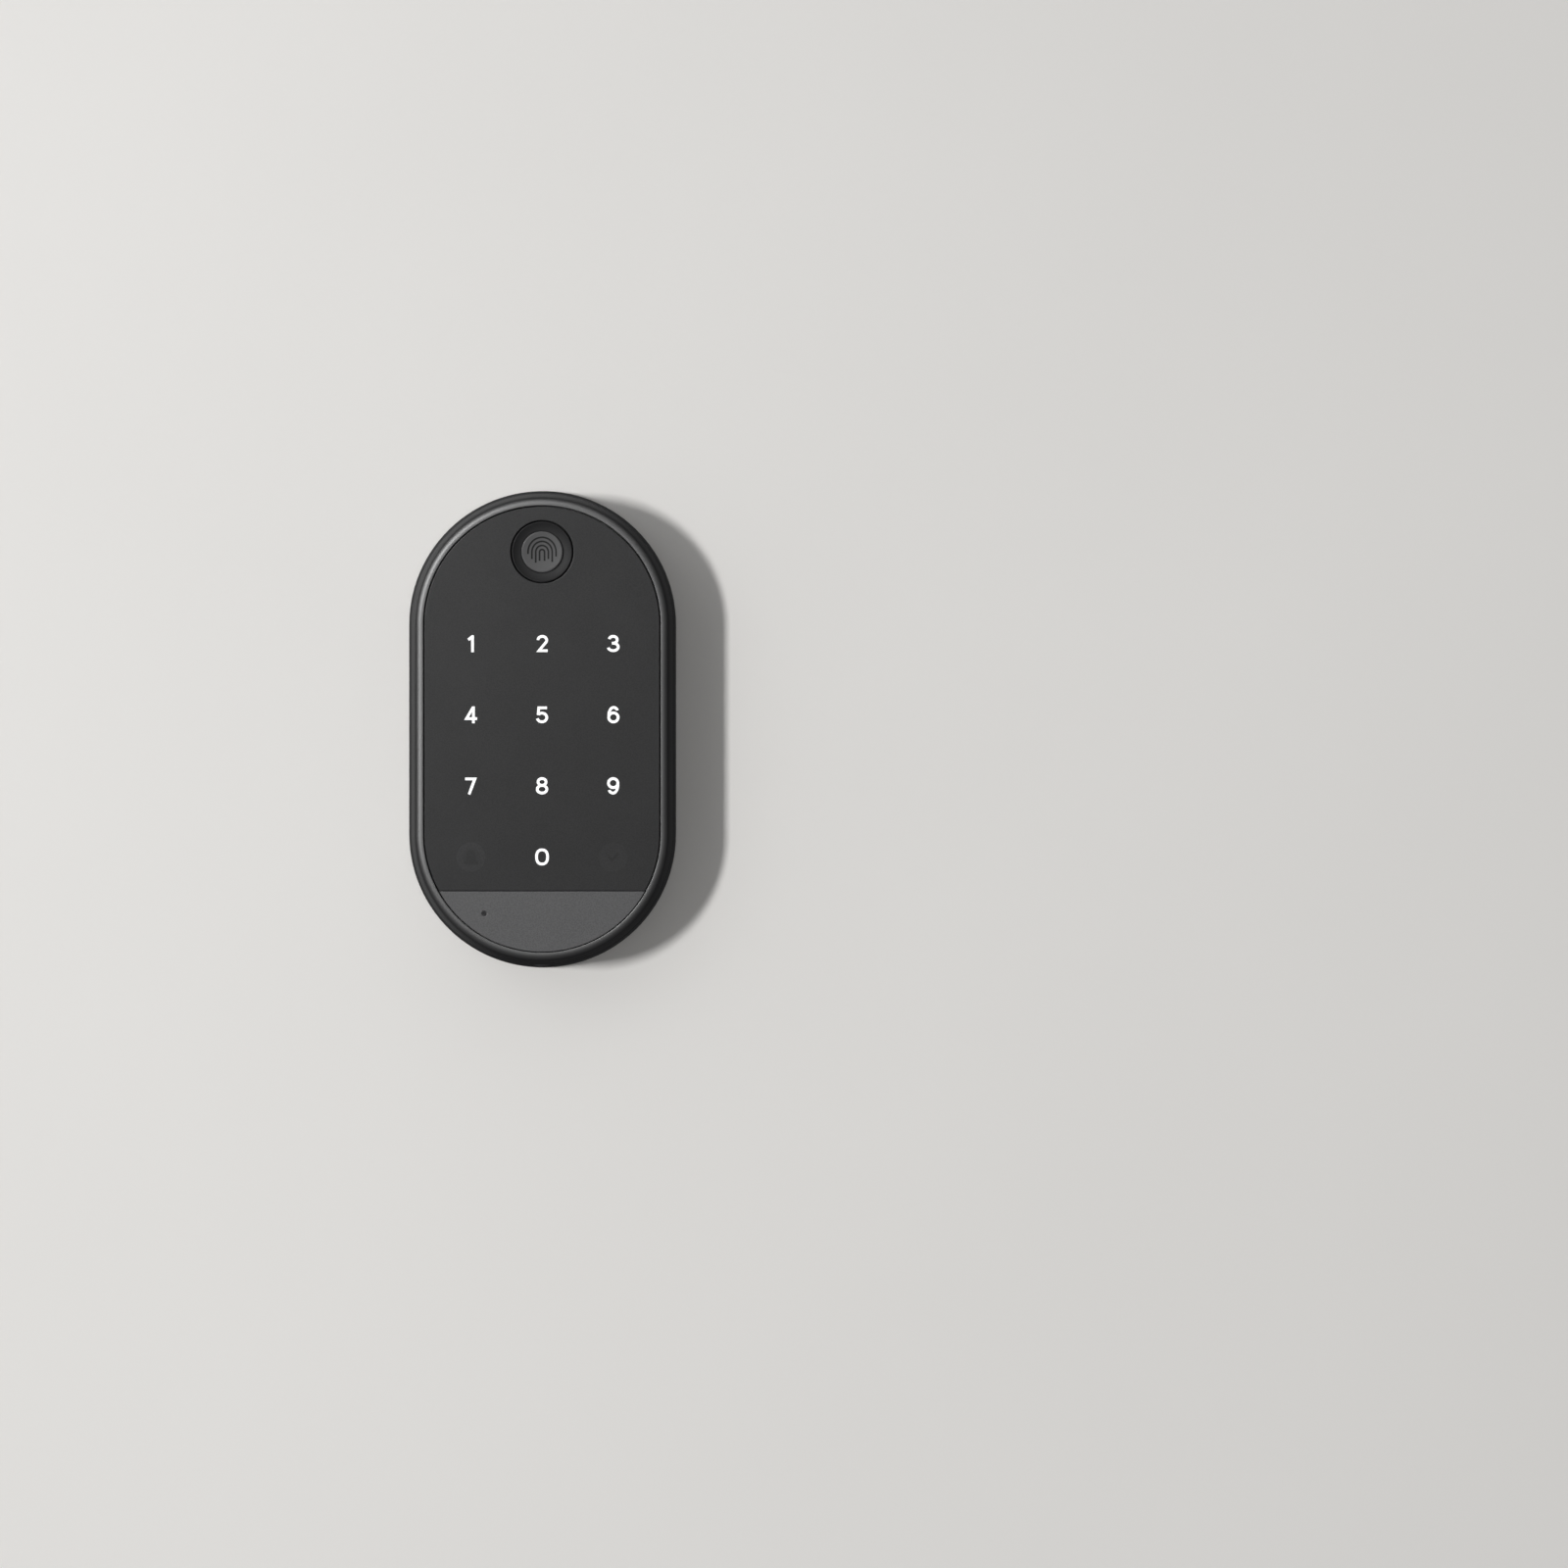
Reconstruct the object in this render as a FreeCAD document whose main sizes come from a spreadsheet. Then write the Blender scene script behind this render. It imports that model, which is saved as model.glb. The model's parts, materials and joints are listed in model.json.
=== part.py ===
import FreeCAD, Part
import math
import os
import Sketcher
from FreeCAD import Placement, Rotation, Vector

# Wall keypad with a fingerprint reader that works a door lock. Millimetres, +Z up.
# The wall is the plane Y = 0 and the keypad faces -Y. "Depth" is the distance from
# the wall, so a point at depth d has Y = -d. The origin is the centre of the outline
# on the wall.

SIZES = {
    # outline of the case
    "overall_width": 74.0,
    "overall_height": 132.0,
    "overall_depth": 26.0,
    "draft": 4.7,
    "skirt_gap": 0.4,
    "foot_round": 0.6,
    # front frame
    "lip_round": 1.7,
    "lip_chamfer": 0.35,
    "lip_stand": 0.4,
    "rim_width": 4.1,
    "ledge_width": 3.0,
    "ledge_thick": 1.6,
    "bar_height": 4.9,
    "case_split": 9.5,
    "split_gap": 0.3,
    "frame_edge": 1.2,
    "tongue_thick": 0.9,
    "tongue_height": 1.6,
    "tongue_play": 0.1,
    "seal_thick": 0.6,
    "seal_step": 0.6,
    "boss_radius": 3.2,
    "boss_merge": 0.1,
    "boss_turn": 35.0,
    # front face
    "panel_thick": 2.0,
    "panel_gap": 0.4,
    "panel_chamfer": 0.2,
    "seam_gap": 0.3,
    "band_height": 21.25,
    "bond_thick": 0.3,
    "bond_play": 0.2,
    "key_pitch": 19.65,
    "key_drop": 42.4,
    "pinhole_radius": 0.75,
    "pinhole_side": 16.0,
    "pinhole_rise": 15.1,
    "pinhole_tube_wall": 0.9,
    "pinhole_tube_length": 2.0,
    # fingerprint reader
    "reader_drop": 17.0,
    "ring_radius": 8.35,
    "ring_play": 0.35,
    "ring_sink": 0.2,
    "ring_edge": 0.25,
    "dish_depth": 1.1,
    "dish_curve": 4.6,
    "flange_reach": 1.4,
    "flange_thick": 0.9,
    "reader_seal_thick": 0.5,
    "disc_radius": 5.7,
    "disc_play": 0.15,
    "disc_stand": 0.6,
    "disc_chamfer": 0.25,
    "disc_hollow": 0.2,
    "reader_body_radius": 7.6,
    "reader_body_length": 3.6,
    "board_hole_play": 0.6,
    "flex_width": 7.0,
    "flex_thick": 0.2,
    "flex_inset": 2.0,
    # keypad stack
    "film_thick": 0.3,
    "film_play": 0.3,
    "guide_thick": 2.0,
    "guide_margin": 6.35,
    "guide_head": 5.0,
    "cell_half": 4.2,
    "led_side": 1.6,
    "led_thick": 0.7,
    # circuit board
    "board_thick": 1.2,
    "board_rise": 0.9,
    "board_inset": 2.4,
    "notch_play": 0.5,
    "post_radius": 2.75,
    "post_rise": 3.9,
    "lower_post_side": 12.0,
    "lower_post_drop": 3.8,
    "board_screw_radius": 1.1,
    "board_screw_length": 6.0,
    "board_screw_head": 2.0,
    "board_screw_head_thick": 1.3,
    "screw_fit": 0.03,
    "screw_pass": 0.2,
    "radio_width": 12.0,
    "radio_height": 12.0,
    "radio_thick": 2.4,
    "radio_gap": 0.85,
    "chip_side": 9.0,
    "chip_thick": 1.0,
    "chip_rise": 9.8,
    "socket_width": 9.0,
    "socket_height": 3.2,
    "socket_thick": 1.5,
    "socket_rise": 3.0,
    "buzzer_radius": 6.0,
    "buzzer_thick": 4.0,
    "buzzer_port": 1.5,
    "buzzer_case": 0.4,
    "buzzer_drop": 11.8,
    # reset button behind the pinhole
    "reset_travel": 0.5,
    "reset_radius": 1.5,
    "reset_play": 0.08,
    "reset_sink": 0.5,
    "reset_stem_radius": 0.9,
    "reset_switch_side": 4.5,
    "reset_switch_thick": 1.7,
    "reset_floor": 0.3,
    "reset_spare": 0.1,
    # rear housing
    "skirt_wall": 2.4,
    "back_depth": 3.2,
    "back_thick": 2.4,
    "bay_wall": 1.2,
    "bay_play": 0.3,
    "column_wall": 2.4,
    "column_height": 8.5,
    # batteries and contacts
    "battery_radius": 5.25,
    "battery_length": 44.5,
    "battery_nub": 1.0,
    "battery_nub_radius": 1.9,
    "battery_pitch": 10.8,
    "contact_thick": 0.4,
    "contact_height": 7.6,
    "spring_room": 4.7,
    "spring_thick": 0.3,
    "spring_foot": 3.2,
    "spring_crown": 1.2,
    "spring_width": 5.0,
    "tail_width": 2.0,
    "tail_play": 0.2,
    # battery cover
    "cover_sink": 0.1,
    "cover_thick": 1.5,
    "cover_play": 0.25,
    "cover_lap": 0.9,
    "cover_slide": 6.0,
    "cover_shelf": 0.1,
    "tab_length": 5.0,
    "tab_reach": 1.4,
    "tab_thick": 0.8,
    "tab_play": 0.1,
    "tab_upper": 17.0,
    "tab_lower": -13.0,
    "grip_depth": 0.5,
    "grip_width": 16.0,
    "grip_height": 1.2,
    "grip_pitch": 2.4,
    # wall plate
    "plate_thick": 2.6,
    "plate_side_gap": 1.0,
    "core_depth": 1.0,
    "core_half": 9.0,
    "core_side": 12.5,
    "core_height": 20.0,
    "core_pitch": 24.0,
    "wall_screw_spacing": 76.0,
    "wall_slot_half": 2.2,
    "wall_slot_length": 8.0,
    "sink_depth": 1.2,
    "lift": 8.0,
    "lift_spare": 0.6,
    "hook_width": 5.6,
    "hook_side": 5.3,
    "hook_upper": 24.0,
    "hook_lower": -18.0,
    "hook_stem": 3.0,
    "hook_lip": 5.8,
    "hook_thick": 1.6,
    "hook_gap": 0.4,
    "hook_seat": 0.1,
    "pocket_wall": 1.0,
    "lug_half": 5.0,
    "lug_rise": 2.0,
    "lug_height": 3.8,
    "lug_reach": 9.6,
    # fasteners
    "case_screw_radius": 1.25,
    "case_screw_length": 10.0,
    "case_screw_head": 2.4,
    "case_screw_head_thick": 1.3,
    "lock_screw_radius": 1.5,
    "lock_screw_head": 2.75,
    "lock_screw_head_thick": 1.6,
    "lock_screw_depth": 6.2,
    "lock_screw_sink": 0.15,
    "lock_screw_tip": 0.4,
    "drive_radius": 1.1,
    "drive_depth": 0.8,
    # sound outlet
    "sound_slot_width": 7.0,
    "sound_slot_height": 1.2,
    "sound_slot_pitch": 9.0,
    "sound_slot_depth": 14.5,
    "mesh_thick": 0.4,
    "mesh_margin": 1.0,
}


class Size:
    """A number together with the sheet expression that gives it."""

    def __init__(self, text, number):
        self.text = text
        self.number = number

    @staticmethod
    def of(other):
        return other if isinstance(other, Size) else Size(str(other), float(other))

    def __add__(self, other):
        other = Size.of(other)
        return Size(f"({self.text} + {other.text})", self.number + other.number)

    def __radd__(self, other):
        return Size.of(other) + self

    def __sub__(self, other):
        other = Size.of(other)
        return Size(f"({self.text} - {other.text})", self.number - other.number)

    def __rsub__(self, other):
        return Size.of(other) - self

    def __mul__(self, other):
        other = Size.of(other)
        return Size(f"({self.text} * {other.text})", self.number * other.number)

    def __rmul__(self, other):
        return Size.of(other) * self

    def __truediv__(self, other):
        other = Size.of(other)
        return Size(f"({self.text} / {other.text})", self.number / other.number)

    def __neg__(self):
        return Size(f"(-1 * {self.text})", -self.number)


def turned(angle, function):
    """The tan, cos or sin of an angle size given in degrees."""
    number = getattr(math, function)(math.radians(angle.number))
    return Size(f"{function}({angle.text})", number)


doc = FreeCAD.newDocument("WallKeypad")
sheet = doc.addObject("Spreadsheet::Sheet", "Sizes")
for row, (alias, amount) in enumerate(SIZES.items(), 1):
    sheet.set(f"A{row}", alias)
    sheet.set(f"B{row}", str(amount))
    sheet.setAlias(f"B{row}", alias)
doc.recompute()


class Sheet:
    """Gives the driving sizes by name, each bound to its cell."""

    def __getattr__(self, alias):
        return Size(f"Sizes.{alias}", SIZES[alias])


s = Sheet()
node_objects = []


# ---------------------------------------------------------------- derived sizes

half_width = s.overall_width / 2
half_height = s.overall_height / 2
arc_z = half_height - half_width
slope = turned(s.draft, "tan")


def outer_half(depth):
    """Half-width of the drafted case at a depth."""
    return half_width - (depth - s.skirt_gap) * slope


panel_front = s.overall_depth - s.lip_stand
panel_back = panel_front - s.panel_thick
recess_half = half_width - s.rim_width
panel_half = recess_half - s.panel_gap
ledge_front = panel_back - s.bond_thick
ledge_back = ledge_front - s.ledge_thick
ledge_half = recess_half - s.ledge_width
seam_z = s.band_height - half_height

frame_back = s.case_split + s.split_gap / 2
skirt_front = s.case_split - s.split_gap / 2
rebate_half = outer_half(frame_back) - s.frame_edge
tongue_outer = rebate_half - s.tongue_play
rear_inner = tongue_outer - s.tongue_thick
frame_inner = rear_inner - s.seal_step
tongue_front = skirt_front + s.tongue_height
seal_front = tongue_front + s.seal_thick
skirt_inner = half_width - s.skirt_wall

boss_reach = frame_inner - s.boss_radius + s.boss_merge
boss_x = boss_reach * turned(s.boss_turn, "cos")
boss_z = arc_z + boss_reach * turned(s.boss_turn, "sin")

back_front = s.back_depth + s.back_thick
cover_back = s.back_depth + s.cover_sink
cover_front = cover_back + s.cover_thick
battery_depth = cover_front + s.bay_play + s.battery_radius
bay_front = battery_depth + s.battery_radius + s.bay_play
bay_cap = bay_front + s.bay_wall
bay_half = 1.5 * s.battery_pitch + s.battery_radius + s.bay_play + s.bay_play / 2
bay_top = (s.battery_length + s.spring_room + 2 * s.contact_thick) / 2
bay_outer = bay_half + s.bay_wall
bay_outer_top = bay_top + s.bay_wall
cover_half = bay_half + s.cover_lap
cover_top = bay_top + s.cover_lap
recess_front = cover_front + s.cover_shelf

board_back = bay_cap + s.board_rise
board_front = board_back + s.board_thick
board_half = frame_inner - s.board_inset
guide_front = panel_back - s.film_thick
guide_back = guide_front - s.guide_thick
key_top = half_height - s.key_drop
guide_half = s.key_pitch + s.guide_margin
guide_top = key_top + s.guide_head
guide_bottom = key_top - 3 * s.key_pitch - s.guide_head
socket_low = guide_top + s.socket_rise
upper_post_x = bay_outer
upper_post_z = guide_top + s.post_rise
lower_post_z = guide_bottom - s.lower_post_drop
posts = [(side * upper_post_x, upper_post_z) for side in (-1, 1)]
posts += [(side * s.lower_post_side, lower_post_z) for side in (-1, 1)]

reader_z = half_height - s.reader_drop
reader_hole = s.ring_radius + s.ring_play
ring_front = panel_front - s.ring_sink
ring_bore = s.disc_radius + s.disc_play
dish_floor = ring_front - s.dish_depth
flange_front = panel_back - s.reader_seal_thick
flange_back = flange_front - s.flange_thick
flange_half = s.ring_radius + s.flange_reach
reader_body_back = flange_back - s.reader_body_length

pinhole_x = -s.pinhole_side
pinhole_z = s.pinhole_rise - half_height
reset_bore = s.reset_radius + s.reset_play
reset_front = panel_back - s.reset_sink
reset_switch_front = board_front + s.reset_switch_thick
reset_shoulder = reset_switch_front + s.reset_travel + s.reset_spare
reset_tail = board_front + s.reset_floor + s.reset_travel + s.reset_spare

hook_x = bay_outer + s.hook_side
hook_back = back_front + s.hook_gap
hook_front = hook_back + s.hook_thick
pocket_front = hook_front + s.hook_gap
plate_half = skirt_inner - s.plate_side_gap
plate_lower = s.lift + s.lift_spare - arc_z
plate_bottom = plate_lower - plate_half
lug_bottom = plate_bottom + s.lug_rise
lug_top = lug_bottom + s.lug_height
lug_pocket_front = s.lug_reach + s.lift_spare
lug_pocket_bottom = lug_bottom - s.lift - s.lift_spare
lug_pocket_top = lug_top + s.lift_spare
case_bottom = -arc_z - outer_half(s.lock_screw_depth)
lock_seat = case_bottom + s.lock_screw_sink + s.lock_screw_head_thick


# ------------------------------------------------------------------ small tools


def bind(thing, prop, size):
    thing.setExpression(prop, Size.of(size).text)


def keep(thing, label):
    """Registers a finished sub-part under the name of its file."""
    thing.Label = label
    node_objects.append(thing)
    return thing


def new_body(name):
    return doc.addObject("PartDesign::Body", name + "_body")


def origin_item(body, role):
    return next(item for item in body.Origin.OriginFeatures if item.Role == role)


def sketch_on(body, offset, role="XZ_Plane"):
    """A sketch parallel to an origin plane; on XZ its offset is the depth."""
    sketch = body.newObject("Sketcher::SketchObject", body.Name + "_sketch")
    sketch.AttachmentSupport = (origin_item(body, role), [""])
    sketch.MapMode = "FlatFace"
    bind(sketch, "AttachmentOffset.Base.z", offset)
    return sketch


def dimension(sketch, kind, refs, size):
    size = Size.of(size)
    index = sketch.addConstraint(Sketcher.Constraint(kind, *refs, size.number))
    sketch.setExpression(f"Constraints[{index}]", size.text)


def pin_point(sketch, geometry, point, x, z):
    dimension(sketch, "DistanceX", (-1, 1, geometry, point), x)
    dimension(sketch, "DistanceY", (-1, 1, geometry, point), z)


def circle(sketch, x, z, radius):
    x, z, radius = Size.of(x), Size.of(z), Size.of(radius)
    centre = Vector(x.number, z.number, 0)
    index = sketch.addGeometry(Part.Circle(centre, Vector(0, 0, 1), radius.number))
    pin_point(sketch, index, 3, x, z)
    dimension(sketch, "Radius", (index,), radius)


def outline(sketch, corners, rounds=None):
    """A closed outline through fixed corners; rounds gives a radius for some sides."""
    rounds = rounds or {}
    corners = [(Size.of(x), Size.of(z)) for x, z in corners]
    sides = []
    for number, (x, z) in enumerate(corners):
        next_x, next_z = corners[(number + 1) % len(corners)]
        start = Vector(x.number, z.number, 0)
        end = Vector(next_x.number, next_z.number, 0)
        if number in rounds:
            radius = Size.of(rounds[number]).number
            chord = end - start
            bow = math.copysign(abs(radius) - math.sqrt(radius**2 - chord.Length**2 / 4), radius)
            across = Vector(-chord.y, chord.x, 0).normalize()
            middle = (start + end) / 2 + across * bow
            sides.append(sketch.addGeometry(Part.Arc(start, middle, end)))
        else:
            sides.append(sketch.addGeometry(Part.LineSegment(start, end)))
    for number, side in enumerate(sides):
        start_point = start_of(sketch, side, corners[number])
        before = sides[number - 1]
        end_point = 3 - start_of(sketch, before, corners[number - 1])
        sketch.addConstraint(Sketcher.Constraint("Coincident", before, end_point, side, start_point))
        pin_point(sketch, side, start_point, *corners[number])
        if number in rounds:
            radius = Size.of(rounds[number])
            text = f"abs({radius.text})"
            dimension(sketch, "Radius", (side,), Size(text, abs(radius.number)))


def start_of(sketch, side, corner):
    """1 or 2: which end of a line or arc lies on a corner."""
    place = Vector(corner[0].number, corner[1].number, 0)
    first = sketch.getPoint(side, 1)
    second = sketch.getPoint(side, 2)
    return 1 if first.distanceToPoint(place) <= second.distanceToPoint(place) else 2


def rectangle(sketch, left, right, low, high):
    outline(sketch, [(left, low), (right, low), (right, high), (left, high)])


def stadium(sketch, half, top, low, centre=0):
    """Two half circles about (centre, top) and (centre, low), joined by straight sides."""
    half, top, low, centre = (Size.of(item) for item in (half, top, low, centre))
    arcs = []
    for middle, first, last in ((top, 0, math.pi), (low, math.pi, 2 * math.pi)):
        place = Vector(centre.number, middle.number, 0)
        whole = Part.Circle(place, Vector(0, 0, 1), half.number)
        index = sketch.addGeometry(Part.ArcOfCircle(whole, first, last))
        pin_point(sketch, index, 3, centre, middle)
        dimension(sketch, "Radius", (index,), half)
        sketch.addConstraint(Sketcher.Constraint("Horizontal", index, 3, index, 1))
        sketch.addConstraint(Sketcher.Constraint("Horizontal", index, 3, index, 2))
        arcs.append(index)
    for start, end in (((0, 2), (1, 1)), ((1, 2), (0, 1))):
        ends = [sketch.getPoint(arcs[which], point) for which, point in (start, end)]
        side = sketch.addGeometry(Part.LineSegment(*ends))
        sketch.addConstraint(Sketcher.Constraint("Coincident", side, 1, arcs[start[0]], start[1]))
        sketch.addConstraint(Sketcher.Constraint("Coincident", side, 2, arcs[end[0]], end[1]))


def pad(body, sketch, length, draft=None):
    """Adds material from the sketch towards the front, narrowing by the draft."""
    feature = body.newObject("PartDesign::Pad", body.Name + "_pad")
    feature.Profile = sketch
    bind(feature, "Length", length)
    if draft is not None:
        bind(feature, "TaperAngle", -draft)
    return settle(body, feature, 1)


def cut(body, sketch, length):
    """Removes material from the sketch towards the front."""
    feature = body.newObject("PartDesign::Pocket", body.Name + "_cut")
    feature.Profile = sketch
    feature.Reversed = True
    bind(feature, "Length", length)
    return settle(body, feature, -1)


def settle(body, feature, sign):
    """Recomputes a feature and makes sure that it added or removed material."""
    before = feature.BaseFeature.Shape.Volume if feature.BaseFeature else 0.0
    doc.recompute()
    if (feature.Shape.Volume - before) * sign <= 0:
        raise ValueError(f"{feature.Name} changes nothing in {body.Name}")
    return feature


def spine_distance(point):
    """Distance from the straight line that the case's outline is drawn around."""
    over = max(abs(point.z) - arc_z.number, 0.0)
    return math.hypot(point.x, over)


def rim_edges(body, depth, half):
    """Names of the edges that run round the outline at a depth and half-width."""
    names = []
    for number, edge in enumerate(body.Shape.Edges, 1):
        points = [vertex.Point for vertex in edge.Vertexes]
        level = all(abs(point.y + depth.number) < 1e-4 for point in points)
        if level and all(abs(spine_distance(point) - half.number) < 1e-3 for point in points):
            names.append(f"Edge{number}")
    return names


def dress(body, kind, edges, prop, size):
    """A PartDesign Fillet or Chamfer on named edges of the body's last feature."""
    if not edges:
        raise ValueError(f"no edge of {body.Name} to work on")
    last = body.Tip
    feature = body.newObject("PartDesign::" + kind, body.Name + "_" + kind.lower())
    feature.Base = (last, edges)
    bind(feature, prop, size)
    doc.recompute()
    return feature


def box(name, left, right, back, front, low, high):
    """A block between two sides, two depths and two heights."""
    block = doc.addObject("Part::Box", name)
    bind(block, "Length", Size.of(right) - left)
    bind(block, "Width", Size.of(front) - back)
    bind(block, "Height", Size.of(high) - low)
    bind(block, "Placement.Base.x", left)
    bind(block, "Placement.Base.y", -Size.of(front))
    bind(block, "Placement.Base.z", low)
    return block


def centred_box(name, x, z, width, height, back, thick):
    left = Size.of(x) - Size.of(width) / 2
    low = Size.of(z) - Size.of(height) / 2
    return box(name, left, left + width, back, Size.of(back) + thick, low, low + height)


def rod(name, x, z, back, front, radius):
    """A cylinder along the depth."""
    piece = doc.addObject("Part::Cylinder", name)
    bind(piece, "Radius", radius)
    bind(piece, "Height", Size.of(front) - back)
    piece.Placement = Placement(Vector(), Rotation(Vector(1, 0, 0), 90))
    bind(piece, "Placement.Base.x", x)
    bind(piece, "Placement.Base.y", -Size.of(back))
    bind(piece, "Placement.Base.z", z)
    return piece


def upright(name, x, depth, low, high, radius):
    """A cylinder along Z."""
    piece = doc.addObject("Part::Cylinder", name)
    bind(piece, "Radius", radius)
    bind(piece, "Height", Size.of(high) - low)
    bind(piece, "Placement.Base.x", x)
    bind(piece, "Placement.Base.y", -Size.of(depth))
    bind(piece, "Placement.Base.z", low)
    return piece


def fuse(name, pieces):
    joined = doc.addObject("Part::MultiFuse", name)
    joined.Shapes = pieces
    return joined


def difference(name, base, tool):
    rest = doc.addObject("Part::Cut", name)
    rest.Base = base
    rest.Tool = tool
    return rest


def group(name, pieces):
    together = doc.addObject("Part::Compound", name)
    together.Links = pieces
    return together


def hexagon(name, x, z, radius, back, depth):
    """A hexagonal drive recess that opens towards the wall."""
    prism = doc.addObject("Part::Prism", name)
    prism.Polygon = 6
    bind(prism, "Circumradius", radius)
    bind(prism, "Height", depth)
    prism.Placement = Placement(Vector(), Rotation(Vector(1, 0, 0), 90))
    bind(prism, "Placement.Base.x", x)
    bind(prism, "Placement.Base.y", -Size.of(back))
    bind(prism, "Placement.Base.z", z)
    return prism


# ------------------------------------------------------------------- wall plate


def make_wall_plate():
    body = new_body("plate")
    base = sketch_on(body, 0)
    stadium(base, plate_half, arc_z, plate_lower)
    pad(body, base, s.plate_thick)

    cores = sketch_on(body, 0)
    for side in (-1, 1):
        for level in (-1, 0, 1):
            middle = arc_z + plate_lower
            low = middle / 2 + level * s.core_pitch - s.core_height / 2
            left = side * s.core_side - s.core_half
            rectangle(cores, left, left + 2 * s.core_half, low, low + s.core_height)
    cut(body, cores, s.core_depth)

    straight = s.wall_slot_length / 2 - s.wall_slot_half
    for side in (-1, 1):
        middle = side * s.wall_screw_spacing / 2
        slot = sketch_on(body, 0)
        stadium(slot, s.wall_slot_half, middle + straight, middle - straight)
        cut(body, slot, s.plate_thick)
        sink = sketch_on(body, s.plate_thick - s.sink_depth)
        stadium(sink, s.wall_slot_half * 2, middle + straight, middle - straight)
        cut(body, sink, s.sink_depth)

    stems = sketch_on(body, s.plate_thick)
    lips = sketch_on(body, hook_back)
    for side in (-1, 1):
        left = side * hook_x - s.hook_width / 2
        for level in (s.hook_upper, s.hook_lower):
            low = level - s.hook_stem / 2
            top = level + s.hook_stem / 2
            rectangle(stems, left, left + s.hook_width, low, top)
            rectangle(lips, left, left + s.hook_width, low, top + s.hook_lip)
    pad(body, stems, hook_front - s.plate_thick)
    pad(body, lips, s.hook_thick)

    lug = sketch_on(body, 0)
    rectangle(lug, -s.lug_half, s.lug_half, lug_bottom, lug_top)
    pad(body, lug, s.lug_reach)
    radius = s.lock_screw_radius + s.screw_fit
    bore = upright("lug_bore", 0, s.lock_screw_depth, lug_bottom, lug_top, radius)
    keep(difference("wall_plate_cut", body, bore), "wall_plate")


def make_security_screw():
    top = lug_top - s.lock_screw_tip
    head_low = lock_seat - s.lock_screw_head_thick
    head = upright("lock_head", 0, s.lock_screw_depth, head_low, lock_seat, s.lock_screw_head)
    shank = upright("lock_shank", 0, s.lock_screw_depth, lock_seat, top, s.lock_screw_radius)
    drive = doc.addObject("Part::Prism", "lock_drive")
    drive.Polygon = 6
    bind(drive, "Circumradius", s.drive_radius)
    bind(drive, "Height", s.drive_depth)
    bind(drive, "Placement.Base.y", -s.lock_screw_depth)
    bind(drive, "Placement.Base.z", head_low)
    keep(difference("lock_screw", fuse("lock_blank", [head, shank]), drive), "security_screw")


# ----------------------------------------------------------------- rear housing


def case_bosses():
    return [(side * boss_x, level * boss_z) for side in (-1, 1) for level in (-1, 1)]


def rear_shell(body):
    """The drafted skirt, hollow on both sides of the back wall, with its tongue."""
    skirt = sketch_on(body, s.skirt_gap)
    stadium(skirt, half_width, arc_z, -arc_z)
    pad(body, skirt, skirt_front - s.skirt_gap, s.draft)
    foot = rim_edges(body, s.skirt_gap, half_width)
    dress(body, "Fillet", foot, "Radius", s.foot_round)

    plate_room = sketch_on(body, s.skirt_gap)
    stadium(plate_room, skirt_inner, arc_z, -arc_z)
    cut(body, plate_room, s.back_depth - s.skirt_gap)
    inside = sketch_on(body, back_front)
    stadium(inside, rear_inner, arc_z, -arc_z)
    cut(body, inside, skirt_front - back_front)
    tongue = sketch_on(body, back_front)
    stadium(tongue, tongue_outer, arc_z, -arc_z)
    stadium(tongue, rear_inner, arc_z, -arc_z)
    pad(body, tongue, tongue_front - back_front)


def rear_blocks(body):
    """Battery bay walls, hook pockets, the lug pocket, board posts and screw columns."""
    bay = sketch_on(body, back_front)
    rectangle(bay, -bay_outer, bay_outer, -bay_outer_top, bay_outer_top)
    pad(body, bay, bay_cap - back_front)

    blocks = sketch_on(body, back_front)
    half = s.hook_width / 2 + s.hook_gap + s.pocket_wall
    for side in (-1, 1):
        for level in (s.hook_upper, s.hook_lower):
            low = level - s.hook_stem / 2 - s.lift - s.lift_spare - s.pocket_wall
            top = level + s.hook_stem / 2 + s.hook_lip + s.hook_gap + s.pocket_wall
            rectangle(blocks, side * hook_x - half, side * hook_x + half, low, top)
    pad(body, blocks, pocket_front + s.pocket_wall - back_front)

    lug_half = s.lug_half + s.lift_spare + s.pocket_wall
    lug_low = lug_pocket_bottom - s.pocket_wall
    lug_block = sketch_on(body, back_front)
    rectangle(lug_block, -lug_half, lug_half, lug_low, lug_pocket_top + s.pocket_wall)
    pad(body, lug_block, lug_pocket_front + s.pocket_wall - back_front)

    stand = sketch_on(body, back_front)
    for x, z in posts:
        circle(stand, x, z, s.post_radius)
    pad(body, stand, board_back - back_front)

    columns = sketch_on(body, back_front)
    for x, z in case_bosses():
        circle(columns, x, z, s.case_screw_radius + s.screw_pass + s.column_wall)
    pad(body, columns, s.column_height - back_front)


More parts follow.
